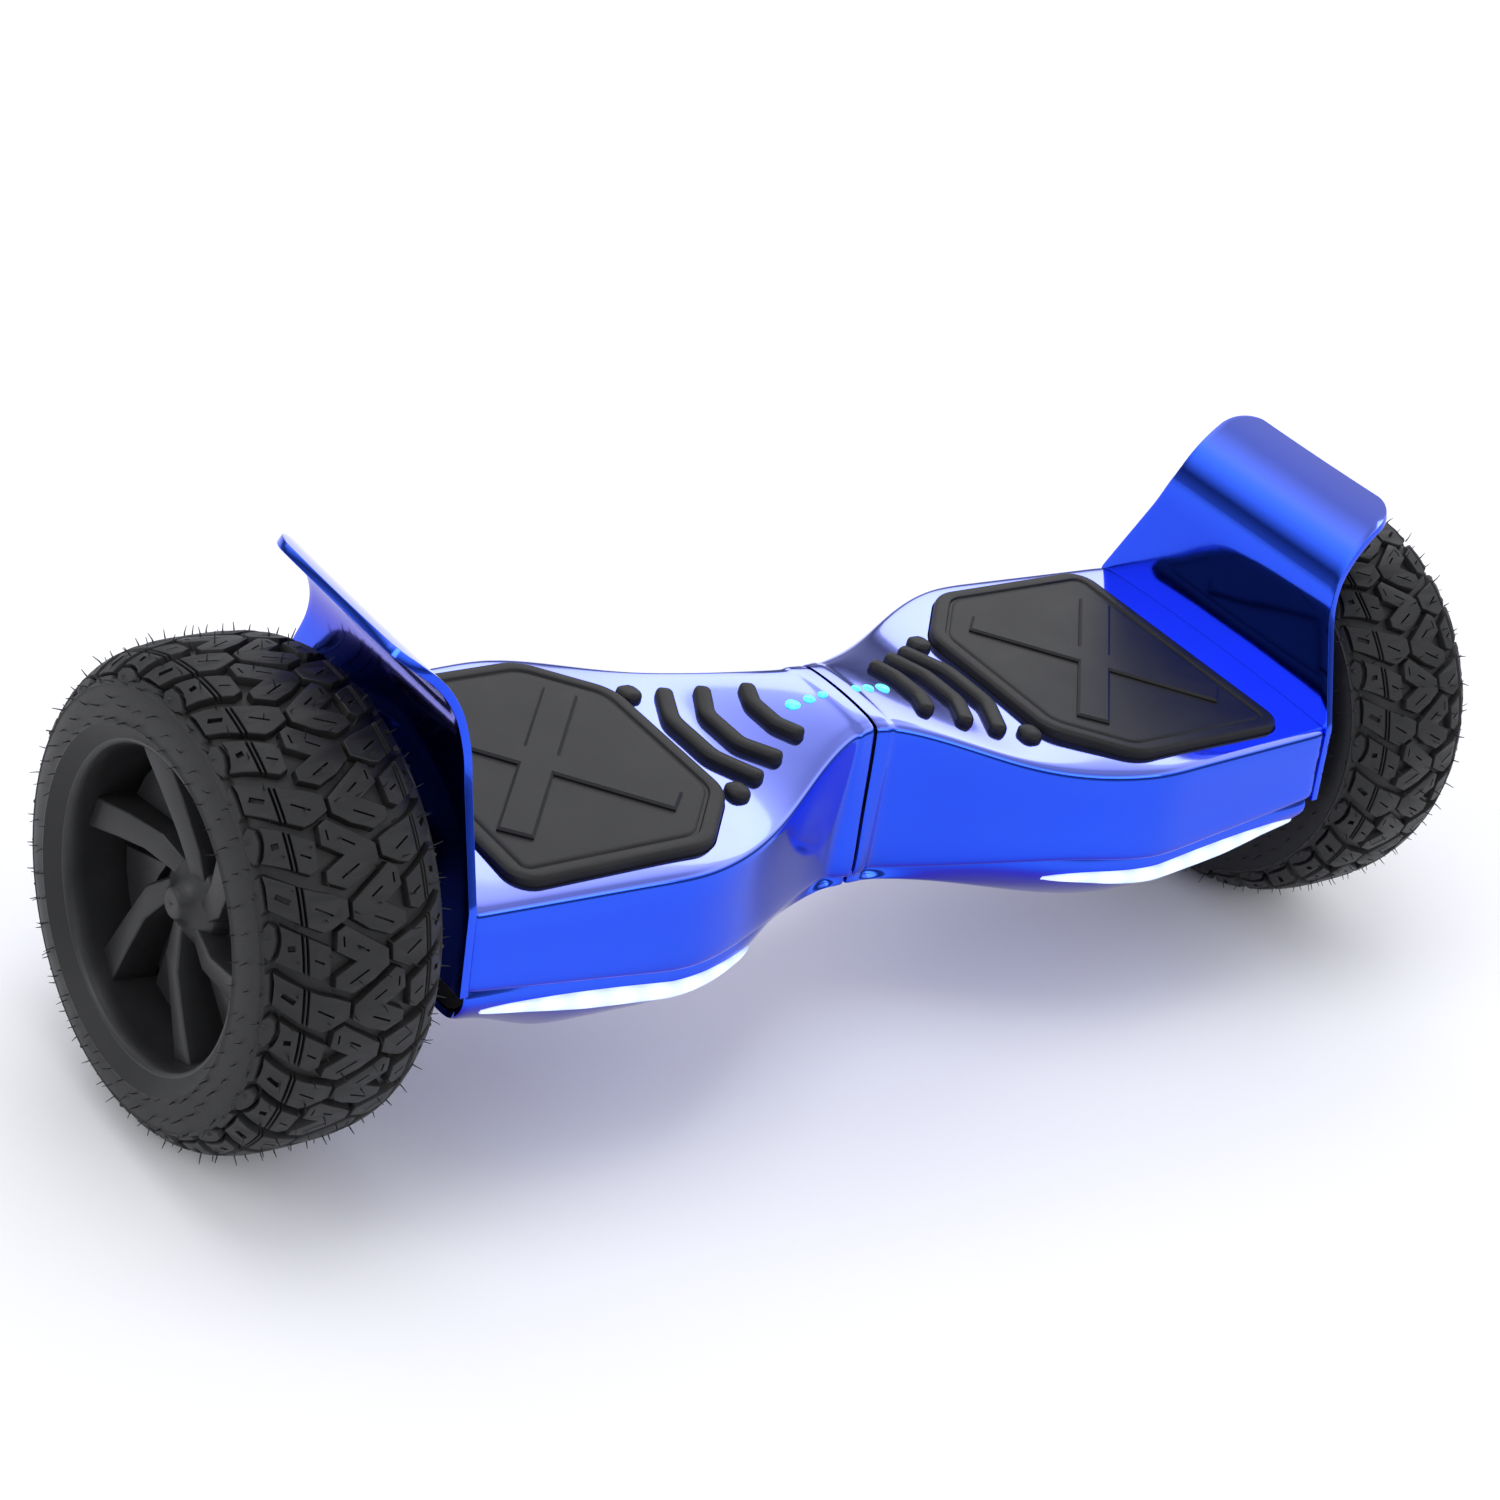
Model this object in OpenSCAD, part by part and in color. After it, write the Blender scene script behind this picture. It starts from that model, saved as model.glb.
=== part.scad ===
// Self-balancing board with two off-road wheels, two halves that twist on a shared tube,
// sprung foot pads, hub motors and tall fenders.
// +X runs from the left wheel to the right wheel, -Y is the front, +Z is up.
// The origin is on the floor under the middle of the board. Millimetres.

/* [Wheels] */
// Distance between the two wheel centres
track = 604.6; // [580:0.1:740]
// Outer diameter of the tyre
tyre_d = 205; // [195:1:260]
// Width of the tyre
tyre_w = 86; // [76:1:96]
// Diameter of the circle where the tyre meets the rim
bead_d = 138; // [134:1:142]
// Thickness of the tyre carcass
tyre_wall = 9; // [6:0.5:12]
// How square the tyre section is, 2 is an ellipse
tyre_square = 3.2; // [2.4:0.1:4]
// Gap between the end of the covers and the tyre
wheel_gap = 14.2; // [12:0.1:22]
// Number of spokes on each rim
spokes = 6; // [5:1:8]

/* [Motors] */
// Diameter of the axle
axle_d = 16; // [12:0.5:20]
// Outer diameter of the motor's stator
stator_d = 100; // [88:1:104]
// Air gap between the stator and the magnets
air_gap = 0.7; // [0.5:0.1:1.5]
// Number of stator teeth
teeth = 18; // [12:3:27]
// Number of magnets in the rotor
magnet_count = 20; // [14:2:30]
// Outer diameter of the wheel bearings
bearing_d = 32; // [28:1:36]

/* [Covers] */
// Width of the deck at the waist
waist_w = 54.4; // [50:0.5:70]
// Width of the deck at its widest
hip_w = 173; // [166:1:190]
// Width of the deck at the wheel end
end_w = 163; // [160:1:180]
// Distance from the middle of the board to the widest place
hip_x = 142; // [120:1:170]
// Height of the deck edge above the axle
deck_rise = 32.5; // [31.5:0.5:40]
// Extra height of the deck edge at the waist
crown_rise = 10.4; // [6:0.2:16]
// Wall thickness of the covers
wall = 3; // [2.5:0.1:3.5]
// How far the side panels lean out towards their bottom edge
flare = 6; // [4:0.5:9]
// Depth of the underside below the axle
keel_drop = 51.5; // [50:0.5:60]
// Gap between the two halves at the middle
seam_gap = 2; // [1.5:0.1:4]

/* [Foot pads] */
// Length of a foot pad along the board
pad_len = 129.5; // [120:0.5:135]
// Width of a foot pad across the board
pad_w = 150; // [136:1:156]
// Distance from the pad to the end of the cover
pad_end = 23; // [18:1:30]
// Height of the pad above the deck edge
pad_proud = 5.5; // [4:0.5:8]
// Gap round a pad in its opening
pad_gap = 0.6; // [0.4:0.1:1.2]

/* [Fenders] */
// Thickness of the fender plate
fender_t = 4; // [3:0.5:6]
// Height of the upright part of the fender above the axle
fender_up = 82; // [74:1:90]
// Radius of the curl at the top of the fender
fender_curl = 56; // [45:1:60]
// Width of the fender's upper part
fender_w = 116; // [100:1:130]

/* [Pivot] */
// Outer diameter of the tube that joins the halves
tube_d = 32; // [28:1:34]
// Wall thickness of the tube
tube_wall = 3; // [2:0.5:4]
// Twist of the halves each way, in degrees
twist = 12; // [8:1:15]

/* [Charging and power] */
// Diameter of the charging port's barrel
port_d = 22; // [20:1:24]
// Diameter of the socket in the port
socket_d = 12; // [10:0.5:14]
// Diameter of the power button
button_d = 14; // [12:1:18]

/* [Hidden] */
$fn = 64;

axle_z = tyre_d / 2;
half_len = track / 2 - tyre_w / 2 - wheel_gap;
wheel_x = track / 2;
// Clearances
slip = 0.05; // running fit, on the radius
press = 0.02; // pressed parts, on the radius, so that their faces stay apart
fit_gap = 0.15; // parts that are pushed or screwed together
clear = 0.5; // parts that must not touch
// Profiles of the covers
parting_gap = 0.6;
cover_fn = 24; // sides of a round hole in a cover
crown = 2;
dip = 2.2;
dip_x = 90;
crown_len = 78;
neck_power = 0.88;
stations = 18;
skirt_start = -30; // the side panel's lower edge at the waist
skirt_rise = 17.5;
skirt_end_rise = 10;
keel_start = -37;
keel_w0 = 72;
keel_w1 = 130;
keel_end_lift = 30;
// Foot pads
pad_out = half_len - pad_end;
pad_in = pad_out - pad_len;
pad_nose_w = 84;
pad_nose_len = 32;
pad_corner = 12;
pad_border = 8;
pad_top = deck_rise + pad_proud;
plate_t = 3;
plate_top = deck_rise - dip - wall - clear;
plate_bottom = plate_top - plate_t;
// Frame
frame_t = 4;
frame_deck = plate_bottom - 6.5;
deck_t = 3;
frame_floor = -14;
frame_out = half_len - wall - 6;
frame_w = hip_w - 2 * 25;
neck_x = 45;
collar_end = 62;
collar_r = tube_d / 2 + 6;
bush_r = tube_d / 2 + 2.5;
foot_r = 5;
foot_inset = 20;
// Axle clamp
clamp_len = 34;
clamp_w = 46;
clamp_x = frame_out - clamp_len;
bolt_r = 3;
// Lamps
lamp_x0 = hip_x - 55;
lamp_x1 = half_len - 9;
lamp_drop = 11.5;
lamp_h = 11;
// Motor
rotor_r = stator_d / 2 + air_gap;
magnet_t = 3.2;
drum_r = rotor_r + magnet_t + 2 * slip;
rim_r = bead_d / 2;
// Places along the axle are from the wheel's middle, outwards
motor_mid = -3;
motor_half = 12;
stator_x0 = motor_mid - motor_half;
stator_x1 = motor_mid + motor_half;
shoulder = 1; // the axle's shoulder past each side of the stator
cover_x = -24; // the motor cover's inner face
cover_t = 4;
disc_x = 13; // the rim's outer disc
disc_t = 4;
hub_x = 27; // the end of the hub's nose
seat_t = 4;
bearing_w = 8;
bearing_x0 = stator_x0 - shoulder - clear - bearing_w;
bearing_x1 = stator_x1 + shoulder + clear;
boss_r = bearing_d / 2 + seat_t;
rim_wall_r = rim_r - 6;
motor_screw_r = 2;
motor_screw_ring = (drum_r + rim_wall_r) / 2;
valve_x = cover_x - 3.2;
valve_r = 3;
tube_skin = 1.5; // wall of the inner tube
// Cover screws
screw_r = 1.5;
screw_head = 3.2;
boss_wall = 1.6;
screw_xs = [pad_in + 20, pad_out - 38];
screw_y = 52;
// Battery pack and main board, under the frames
pack_len = 98;
pack_w = 90;
pack_h = 29;
pack_x = pad_in - 2;
// Port and button, on the right half's back panel
port_x = hip_x + 30;
button_x = hip_x - 10;
panel_z = 8; // height of the port and the button above the axle
port_depth = 22;
cap_t = 2;

function ease(t) = let (u = max(0, min(1, t))) u * u * (3 - 2 * u);
function edge_y(x) = waist_w / 2 + (hip_w - waist_w) / 2 * ease(pow(max(0, x) / hip_x, neck_power))
    - (hip_w - end_w) / 2 * max(0, x - hip_x) / (half_len - hip_x);
function edge_z(x) = deck_rise + crown_rise * (1 - ease(x / crown_len))
    - dip * exp(-pow((x - dip_x) / 30, 2));
function skirt_y(x) = edge_y(x) + flare + 5 * (1 - ease(x / 16));
function skirt_z(x) = skirt_start + skirt_rise * ease((x - 12) / 100)
    + skirt_end_rise * max(0, x - hip_x) / (half_len - hip_x);
function keel_y(x) = keel_w0 / 2 + (keel_w1 - keel_w0) / 2 * ease(x / hip_x)
    + (end_w - keel_w1) / 2 * ease((x - half_len + 55) / 60);
function keel_z(x) = keel_start - (keel_drop + keel_start) * ease(x / hip_x)
    + keel_end_lift * ease((x - half_len + 65) / 70);

// Half sections from the side to the middle, as [y, z] for a place x along the board
function top_half(x) = let (ye = edge_y(x), ze = edge_z(x), ys = skirt_y(x), zs = skirt_z(x)) [
    [ys, zs], [ys - 0.4, zs + 0.12 * (ze - zs)], [ye + 0.5 * (ys - ye), (ze + zs) / 2],
    [ye + 0.9, ze - 6], [ye, ze - 1.8], [ye - 2.5, ze], [ye * 0.8, ze + 0.4 * crown],
    [ye * 0.45, ze + 0.85 * crown], [0, ze + crown]];
function low_half(x) = let (yk = keel_y(x), zk = keel_z(x), ys = skirt_y(x) - wall, zs = skirt_z(x)) [
    [ys, zs], [ys - 1, zs - 0.25 * (zs - zk)], [yk + 0.55 * (ys - yk), zk + 0.38 * (zs - zk)],
    [yk, zk + 2.5], [yk - 3, zk + 0.4], [yk - 9, zk], [0, zk]];
// Outer face of the lower cover at the height z
function lower_wall_y(x, z) = let (side = low_half(x))
    lookup(z, [for (i = [3:-1:0]) [side[i][1], side[i][0]]]);
function backwards(list) = [for (i = [len(list) - 1:-1:0]) list[i]];
function mirrored(list) = [for (p = list) [-p[0], p[1]]];
// Closed sections, anticlockwise as seen from the wheel end
function top_loop(x) = concat(top_half(x), backwards(mirrored([for (i = [0:7]) top_half(x)[i]])));
function low_loop(x) = concat(mirrored(low_half(x)), backwards([for (i = [0:5]) low_half(x)[i]]));
function whole_loop(x) = concat([for (i = [1:8]) top_half(x)[i]],
    backwards(mirrored([for (i = [1:7]) top_half(x)[i]])),
    mirrored([for (i = [1:6]) low_half(x)[i]]), backwards([for (i = [1:5]) low_half(x)[i]]));
function inset(loop, t) = let (n = len(loop)) [for (i = [0:n - 1])
    let (d = loop[(i + 1) % n] - loop[(i + n - 1) % n]) loop[i] + t * [-d[1], d[0]] / norm(d)];

// A solid through a list of closed sections, each a list of [y, z], at the places xs
module loft(xs, loops) {
    n = len(loops[0]);
    m = len(xs);
    points = [for (j = [0:m - 1]) for (p = loops[j]) [xs[j], p[0], p[1]]];
    sides = [for (j = [0:m - 2]) for (i = [0:n - 1]) for (tri = [
        [j * n + i, (j + 1) * n + i, j * n + (i + 1) % n],
        [j * n + (i + 1) % n, (j + 1) * n + i, (j + 1) * n + (i + 1) % n]]) tri];
    polyhedron(points, concat(sides, [[for (i = [0:n - 1]) i]],
        [[for (i = [n - 1:-1:0]) (m - 1) * n + i]]), convexity = 6);
}

function steps(x0, x1, n) = [for (i = [0:n]) x0 + (x1 - x0) * i / n];

module cavity() {
    xs = steps(seam_gap / 2 + wall, half_len - wall, stations);
    loft(xs, [for (x = xs) inset(whole_loop(x), wall)]);
}

module top_block() {
    xs = steps(seam_gap / 2, half_len, stations);
    loft(xs, [for (x = xs) top_loop(x)]);
}

module bottom_block(drop = parting_gap) {
    xs = steps(seam_gap / 2, half_len, stations);
    loft(xs, [for (x = xs) [for (p = low_loop(x)) [p[0], min(p[1], skirt_z(x) - drop)]]]);
}

// One mesh out of several solids, for a thin curved wall
module as_mesh() { resize([0, 0, 0]) children(); }

// Along +X, with its start at x
module rod(x, length, r) { translate([x, 0, 0]) rotate([0, 90, 0]) cylinder(h = length, r = r); }

module ring(x, length, r_out, r_in) {
    difference() {
        rod(x, length, r_out);
        rod(x - 1, length + 2, r_in);
    }
}

// Turns a profile of [r, x] about the wheel's axis, with x from the wheel's middle
module turned(points) {
    translate([wheel_x, 0, 0]) rotate([0, 90, 0]) rotate_extrude() polygon(points);
}

// Puts what is drawn for the right half, from the axle up, on its own side
module place(side) {
    translate([0, 0, axle_z]) mirror([side < 0 ? 1 : 0, 0, 0]) children();
}

module both_sides() { for (s = [-1, 1]) scale([1, s, 1]) children(); }

module pad_outline(grow = 0) {
    nose = pad_nose_w / 2;
    side_y = pad_w / 2;
    offset(r = pad_corner + grow) offset(delta = -pad_corner)
        polygon([[pad_in, -nose], [pad_in + pad_nose_len, -side_y], [pad_out, -side_y],
            [pad_out, side_y], [pad_in + pad_nose_len, side_y], [pad_in, nose]]);
}

// The three chevrons: [distance of the ends from the pad, half width, sweep of the apex]
chevrons = [[23.3, 33.2, 9.7], [38.6, 25.9, 8.2], [56, 17.7, 3]];
chevron_r = 5;
bump_r = 5.5;
grip_proud = 3.8;
grip_root = 9;

module chevron_outline(c, grow) {
    xe = pad_in - c[0];
    for (s = [-1, 1]) hull() {
        translate([xe, s * c[1]]) circle(r = chevron_r + grow, $fn = 24);
        translate([xe + c[2], 0.45 * s * c[1]]) circle(r = chevron_r + grow, $fn = 24);
    }
    hull() for (s = [-1, 1])
        translate([xe + c[2], 0.45 * s * c[1]]) circle(r = chevron_r + grow, $fn = 24);
}

module grips(grow, extra) {
    for (c = chevrons)
        translate([0, 0, edge_z(pad_in - c[0]) + crown - grip_root - extra])
            linear_extrude(grip_root + grip_proud + 2 * extra) chevron_outline(c, grow);
    for (s = [-1, 1])
        translate([pad_in - 7.1, s * 40.5, edge_z(pad_in - 7.1) + crown - grip_root - extra])
            cylinder(h = grip_root + grip_proud + 2 * extra, r = bump_r + grow);
}

// Status lamps: [distance from the middle, diameter]
status = [[26.1, 7], [17.2, 5.5], [9.7, 4.5]];

module status_rods(grow, extra) {
    for (s = status)
        translate([s[0], 0, edge_z(s[0]) + crown - 7 - extra])
            cylinder(h = 7.6 + 2 * extra, r = s[1] / 2 + grow);
}

// The outline of a lamp strip as seen from the front
module lamp_band(grow) {
    n = 16;
    up = [for (i = [0:n]) let (t = i / n, x = lamp_x0 - grow + (lamp_x1 - lamp_x0 + 2 * grow) * t)
        [x, skirt_z(x) - lamp_drop + (lamp_h / 2 + grow) * pow(sin(180 * t), 0.45)]];
    down = [for (i = [n - 1:-1:1]) let (t = i / n, x = lamp_x0 - grow + (lamp_x1 - lamp_x0 + 2 * grow) * t)
        [x, skirt_z(x) - lamp_drop - (lamp_h / 2 + grow) * pow(sin(180 * t), 0.45)]];
    both_sides() translate([0, hip_w, 0]) rotate([90, 0, 0])
        linear_extrude(hip_w - 40) polygon(concat(up, down));
}

module top_cover(side) {
    $fn = cover_fn;
    color([0.2, 0.32, 0.95]) place(side) difference() {
        as_mesh() difference() {
            top_block();
            cavity();
            translate([0, 0, plate_bottom]) linear_extrude(40) pad_outline(pad_gap);
            grips(fit_gap, 4);
        }
        status_rods(fit_gap, 4);
        rod(0, 12, tube_d / 2 + 8);
        rod(half_len - 8, 12, boss_r + 1);
        fender_screw_rods(screw_r + fit_gap, screw_head + fit_gap);
        if (side > 0) {
            panel_rod(port_x, port_d / 2 + fit_gap);
            panel_rod(button_x, button_d / 2 + 0.3);
        }
    }
}

module panel_rod(x, r) {
    translate([x, hip_w / 2 - 24, panel_z]) rotate([-90, 0, 0]) cylinder(h = 40, r = r);
}

module screw_places() { for (x = screw_xs) for (s = [-1, 1]) translate([x, s * screw_y, 0]) children(); }

module bottom_cover(side) {
    $fn = cover_fn;
    color([0.16, 0.26, 0.88]) place(side) as_mesh() difference() {
        union() {
            difference() {
                bottom_block();
                cavity();
                lamp_band(fit_gap);
            }
            screw_places() translate([0, 0, keel_z(hip_x) + 1])
                cylinder(h = frame_floor - keel_z(hip_x) - 1, r = screw_head + boss_wall);
        }
        rod(0, 12, tube_d / 2 + 8);
        rod(half_len - 8, 12, boss_r + 1);
        screw_places() {
            translate([0, 0, keel_z(hip_x) - 5]) cylinder(h = 60, r = screw_r + fit_gap);
            translate([0, 0, keel_z(hip_x) - 5]) cylinder(h = 12, r = screw_head + fit_gap);
        }
    }
}

module cover_screws(side) {
    color([0.15, 0.15, 0.16]) place(side) screw_places() {
        translate([0, 0, keel_z(hip_x) + 7 - 2.4]) cylinder(h = 2.4, r = screw_head);
        translate([0, 0, keel_z(hip_x) + 6])
            cylinder(h = frame_floor + frame_t - keel_z(hip_x) - 6, r = screw_r);
    }
}

// The fender's section through its middle: a straight stretch, then the curl
fender_foot = -4;
fender_turn = 66;
fender_steps = 9;
function fender_path() = concat(
    [for (z = [fender_foot, deck_rise - 2, deck_rise + 16, deck_rise + 32, fender_up - 2]) [0, z, 0]],
    [for (i = [1:fender_steps]) let (a = fender_turn * i / fender_steps)
        [fender_curl * (1 - cos(a)), fender_up + fender_curl * sin(a), a]]);
function fender_half(z) = z < deck_rise
    ? end_w / 2 + flare * (deck_rise - z) / (deck_rise - fender_foot)
    : end_w / 2 + (fender_w - end_w) / 2 * ease((z - deck_rise) / 54)
        - 12 * pow(max(0, (z - fender_up - 38) / 14), 2);

module fender(side) {
    path = fender_path();
    rows = [for (p = path) let (w = fender_half(p[1]), c = cos(p[2]), s = sin(p[2]))
        [[half_len + p[0], w, p[1]], [half_len + p[0], -w, p[1]],
         [half_len + p[0] + fender_t * c, -w, p[1] - fender_t * s],
         [half_len + p[0] + fender_t * c, w, p[1] - fender_t * s]]];
    m = len(rows);
    points = [for (r = rows) for (p = r) p];
    faces = concat([[0, 1, 2, 3]], [for (j = [0:m - 2]) for (i = [0:3]) for (tri = [
        [4 * j + i, 4 * j + 4 + i, 4 * j + (i + 1) % 4],
        [4 * j + (i + 1) % 4, 4 * j + 4 + i, 4 * j + 4 + (i + 1) % 4]]) tri],
        [[4 * m - 1, 4 * m - 2, 4 * m - 3, 4 * m - 4]]);
    color([0.22, 0.42, 1]) place(side) difference() {
        polyhedron(points, faces, convexity = 4);
        rod(half_len - 4, 12, boss_r + 1);
        fender_screw_rods(screw_r + fit_gap, screw_head + fit_gap);
    }
}

// Four screws hold the fender to the end wall of the top cover
module fender_screw_rods(r, head) {
    for (y = [-60, -34, 34, 60]) translate([0, y, 15]) {
        rod(half_len - 7, 8, r);
        rod(half_len + fender_t - 1.6, 4, head);
    }
}

module fender_screws(side) {
    color([0.15, 0.15, 0.16]) place(side) intersection() {
        fender_screw_rods(screw_r, screw_head);
        rod(half_len - 6.5, 6.5 + fender_t - 0.2, 90);
    }
}

module footpad(side) {
    color([0.13, 0.13, 0.14]) place(side) union() {
        translate([0, 0, plate_top]) linear_extrude(pad_top - 2.5 - plate_top) pad_outline();
        translate([0, 0, plate_top]) linear_extrude(pad_top - 0.8 - plate_top) pad_outline(-pad_border / 2);
        translate([0, 0, plate_top]) linear_extrude(pad_top - plate_top) intersection() {
            pad_outline(-pad_border);
            translate([(pad_in + pad_out) / 2 + 6, 0]) for (a = [-33, 33])
                rotate(a) square([pad_len, 15], center = true);
        }
    }
}

module pad_plate(side) {
    color([0.2, 0.2, 0.21]) place(side) translate([0, 0, plate_bottom])
        linear_extrude(plate_t) pad_outline(-1.5);
}

module foot_places() {
    for (x = [pad_in + foot_inset + 10, pad_out - foot_inset]) for (s = [-1, 1])
        translate([x, s * (frame_w / 2 - 14), 0]) children();
}

module pad_feet(side) {
    color([0.1, 0.1, 0.1]) place(side) foot_places() translate([0, 0, frame_deck])
        cylinder(h = plate_bottom - frame_deck, r = foot_r);
}

board_lift = 1.5;
board_t = 1.6;
board_mid = (pad_in + pad_out) / 2;
sensor_y = 30;

module standoffs(h, r) {
    for (x = [-24, 24]) for (y = [-14, 14])
        translate([board_mid + x, y, frame_deck - 0.5]) cylinder(h = h, r = r);
}

module sensor_board(side) {
    color([0.05, 0.35, 0.15]) place(side) difference() {
        translate([board_mid, 0, frame_deck + board_lift]) union() {
            translate([-32, -37, 0]) cube([64, 74, board_t]);
            for (s = [-1, 1]) translate([-7, s * sensor_y - 5, 0]) cube([14, 10, board_t + 1.2]);
            translate([-10, -8, 0]) cube([16, 16, board_t + 0.9]);
        }
        standoffs(10, 1.2);
    }
}

module grip_strips(side) { color([0.12, 0.12, 0.13]) place(side) grips(0, 0); }

module status_lenses(side) { color([0.35, 0.9, 0.85]) place(side) status_rods(0, 0); }

module light_lenses(side) {
    color([0.85, 0.93, 1]) place(side) as_mesh() intersection() {
        difference() {
            bottom_block();
            cavity();
        }
        lamp_band(0);
    }
}

module light_boards(side) {
    xs = steps(lamp_x0 + 14, lamp_x1 - 14, 9);
    back = 1.25 * wall + fit_gap;
    half = lamp_h / 2 - 1;
    color([0.9, 0.9, 0.86]) place(side) both_sides()
        loft(xs, [for (x = xs) let (z = skirt_z(x) - lamp_drop,
            low = lower_wall_y(x, z - half) - back, high = lower_wall_y(x, z + half) - back)
            [[low, z - half], [high, z + half], [high - board_t, z + half], [low - board_t, z - half]]]);
}

module frame_outline(grow = 0) {
    w = frame_w / 2 + grow;
    polygon([[neck_x - grow, -28 - grow], [pad_in + 8, -w], [frame_out + min(grow, 0), -w],
        [frame_out + min(grow, 0), w], [pad_in + 8, w], [neck_x - grow, 28 + grow]]);
}

module clamp_bolt_places() {
    for (x = [clamp_x + 7, clamp_x + clamp_len - 7]) for (s = [-1, 1])
        translate([x, s * (clamp_w / 2 - 7), 0]) children();
}

module frame(side) {
    bore = side < 0 ? tube_d / 2 + press : bush_r + press;
    color([0.6, 0.62, 0.64]) place(side) difference() {
        union() {
            difference() {
                translate([0, 0, frame_floor]) linear_extrude(frame_deck - frame_floor) frame_outline();
                translate([0, 0, frame_floor + frame_t])
                    linear_extrude(frame_deck - deck_t - frame_floor - frame_t) intersection() {
                        frame_outline(-frame_t);
                        translate([collar_end + 4, -200]) square([clamp_x - collar_end - 8, 400]);
                    }
                translate([board_mid - 22, -48, 0]) cube([44, 96, 40]);
                translate([clamp_x - clear, -clamp_w / 2 - clear, frame_floor - 1])
                    cube([clamp_len + 20, clamp_w + 2 * clear, -frame_floor + 1]);
                for (s = [-1, 1]) translate([clamp_x, s * 44 - 12, frame_floor + frame_t])
                    cube([clamp_len - 6, 24, frame_deck - deck_t - frame_floor - frame_t]);
            }
            rod(seam_gap / 2 + wall + 1, collar_end - seam_gap / 2 - wall - 1, collar_r);
            for (s = [-1, 1]) translate([board_mid - 26, s * 14 - 3, frame_deck - deck_t])
                cube([52, 6, deck_t]);
            standoffs(board_lift + 0.5, 3);
            standoffs(board_lift + 0.5 + board_t, 1.15);
        }
        rod(0, collar_end + 12, bore);
        rod(clamp_x - 20, 80, axle_d / 2 + press);
        clamp_bolt_places() translate([0, 0, -1]) cylinder(h = 13, r = bolt_r);
        screw_places() translate([0, 0, frame_floor - 1]) cylinder(h = frame_t + 2, r = screw_r);
        if (side > 0) stop_rod(bolt_r - 0.5);
    }
}

module axle_clamp(side) {
    color([0.62, 0.63, 0.65]) place(side) difference() {
        translate([clamp_x, -clamp_w / 2, frame_floor]) cube([clamp_len, clamp_w, -frame_floor - 0.4]);
        rod(clamp_x - 20, 80, axle_d / 2);
        clamp_bolt_places() translate([0, 0, frame_floor - 1]) cylinder(h = 20, r = bolt_r + fit_gap);
    }
}

module clamp_bolts(side) {
    color([0.3, 0.3, 0.32]) place(side) clamp_bolt_places() {
        translate([0, 0, frame_floor - 5]) cylinder(h = 5, r = 5);
        translate([0, 0, frame_floor - 1]) cylinder(h = 12 - frame_floor, r = bolt_r);
    }
}

module axle(side) {
    color([0.7, 0.7, 0.72]) place(side) difference() {
        union() {
            rod(clamp_x, wheel_x + bearing_x1 + bearing_w - clamp_x, axle_d / 2);
            rod(wheel_x + stator_x0 - shoulder, 2 * (motor_half + shoulder), axle_d / 2 + 3);
        }
        rod(clamp_x - 1, wheel_x + stator_x0 - clamp_x, axle_d / 4);
    }
}

module stator(side) {
    color([0.72, 0.42, 0.2]) place(side) difference() {
        rod(wheel_x + stator_x0, 2 * motor_half, stator_d / 2);
        rod(wheel_x + stator_x0 - 1, 2 * motor_half + 2, axle_d / 2 + 3);
        for (i = [0:teeth - 1]) rotate([360 * i / teeth, 0, 0])
            translate([wheel_x + stator_x0 - 1, -2.2, stator_d / 2 - 18])
                cube([2 * motor_half + 2, 4.4, 30]);
    }
}

module magnets(side) {
    color([0.5, 0.5, 0.52]) place(side) difference() {
        ring(wheel_x + stator_x0 - 1, 2 * motor_half + 2, drum_r - slip, rotor_r);
        for (i = [0:magnet_count - 1]) rotate([360 * i / magnet_count, 0, 0])
            translate([wheel_x + stator_x0 - 2, -0.6, 0]) cube([2 * motor_half + 4, 1.2, drum_r + 5]);
    }
}

rim_half = tyre_w / 2 - 4;

module rim(side) {
    lip = rim_half;
    color([0.14, 0.14, 0.15]) place(side) difference() {
        union() {
            turned([[drum_r, cover_x + cover_t], [drum_r, disc_x], [boss_r, disc_x], [boss_r, bearing_x1],
                [bearing_d / 2, bearing_x1], [bearing_d / 2, bearing_x1 + bearing_w],
                [axle_d / 2 + 3, bearing_x1 + bearing_w], [axle_d / 2 + 3, bearing_x1 + bearing_w + clear],
                [0, bearing_x1 + bearing_w + clear], [0, hub_x], [6, hub_x], [12, hub_x - 5.5],
                [24, disc_x + disc_t + 1], [rim_r - 11, disc_x + disc_t], [rim_wall_r, disc_x + disc_t + 7],
                [rim_r - 4.2, lip - 1], [rim_r - 3.6, lip], [rim_r - 1, lip], [rim_r, lip - 1],
                [rim_r, lip - 8], [rim_r - 3, lip - 10], [rim_r - 3, 10 - lip], [rim_r, 8 - lip],
                [rim_r, 1 - lip], [rim_r - 1, -lip], [rim_r - 4, -lip], [rim_wall_r, 2 - lip],
                [rim_wall_r, cover_x + cover_t]]);
            for (i = [0:spokes - 1]) rotate([360 * i / spokes, 0, 0])
                translate([wheel_x + disc_x + disc_t - 1, 0, 0]) rotate([0, 90, 0]) linear_extrude(8)
                    polygon([[-17, -2], [-26, -13], [-62, -9], [-62, 6], [-30, 2], [-17, 10]]);
        }
        motor_screw_places() rod(cover_x - 2, 16, motor_screw_r);
        valve_hole(valve_r);
    }
}

module motor_screw_places() {
    for (i = [0:7]) rotate([360 * (i + 0.5) / 8, 0, 0])
        translate([wheel_x, 0, motor_screw_ring]) children();
}

module valve_hole(r) {
    translate([wheel_x + valve_x, 0, rim_r - 14]) cylinder(h = 20, r = r);
}

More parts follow.
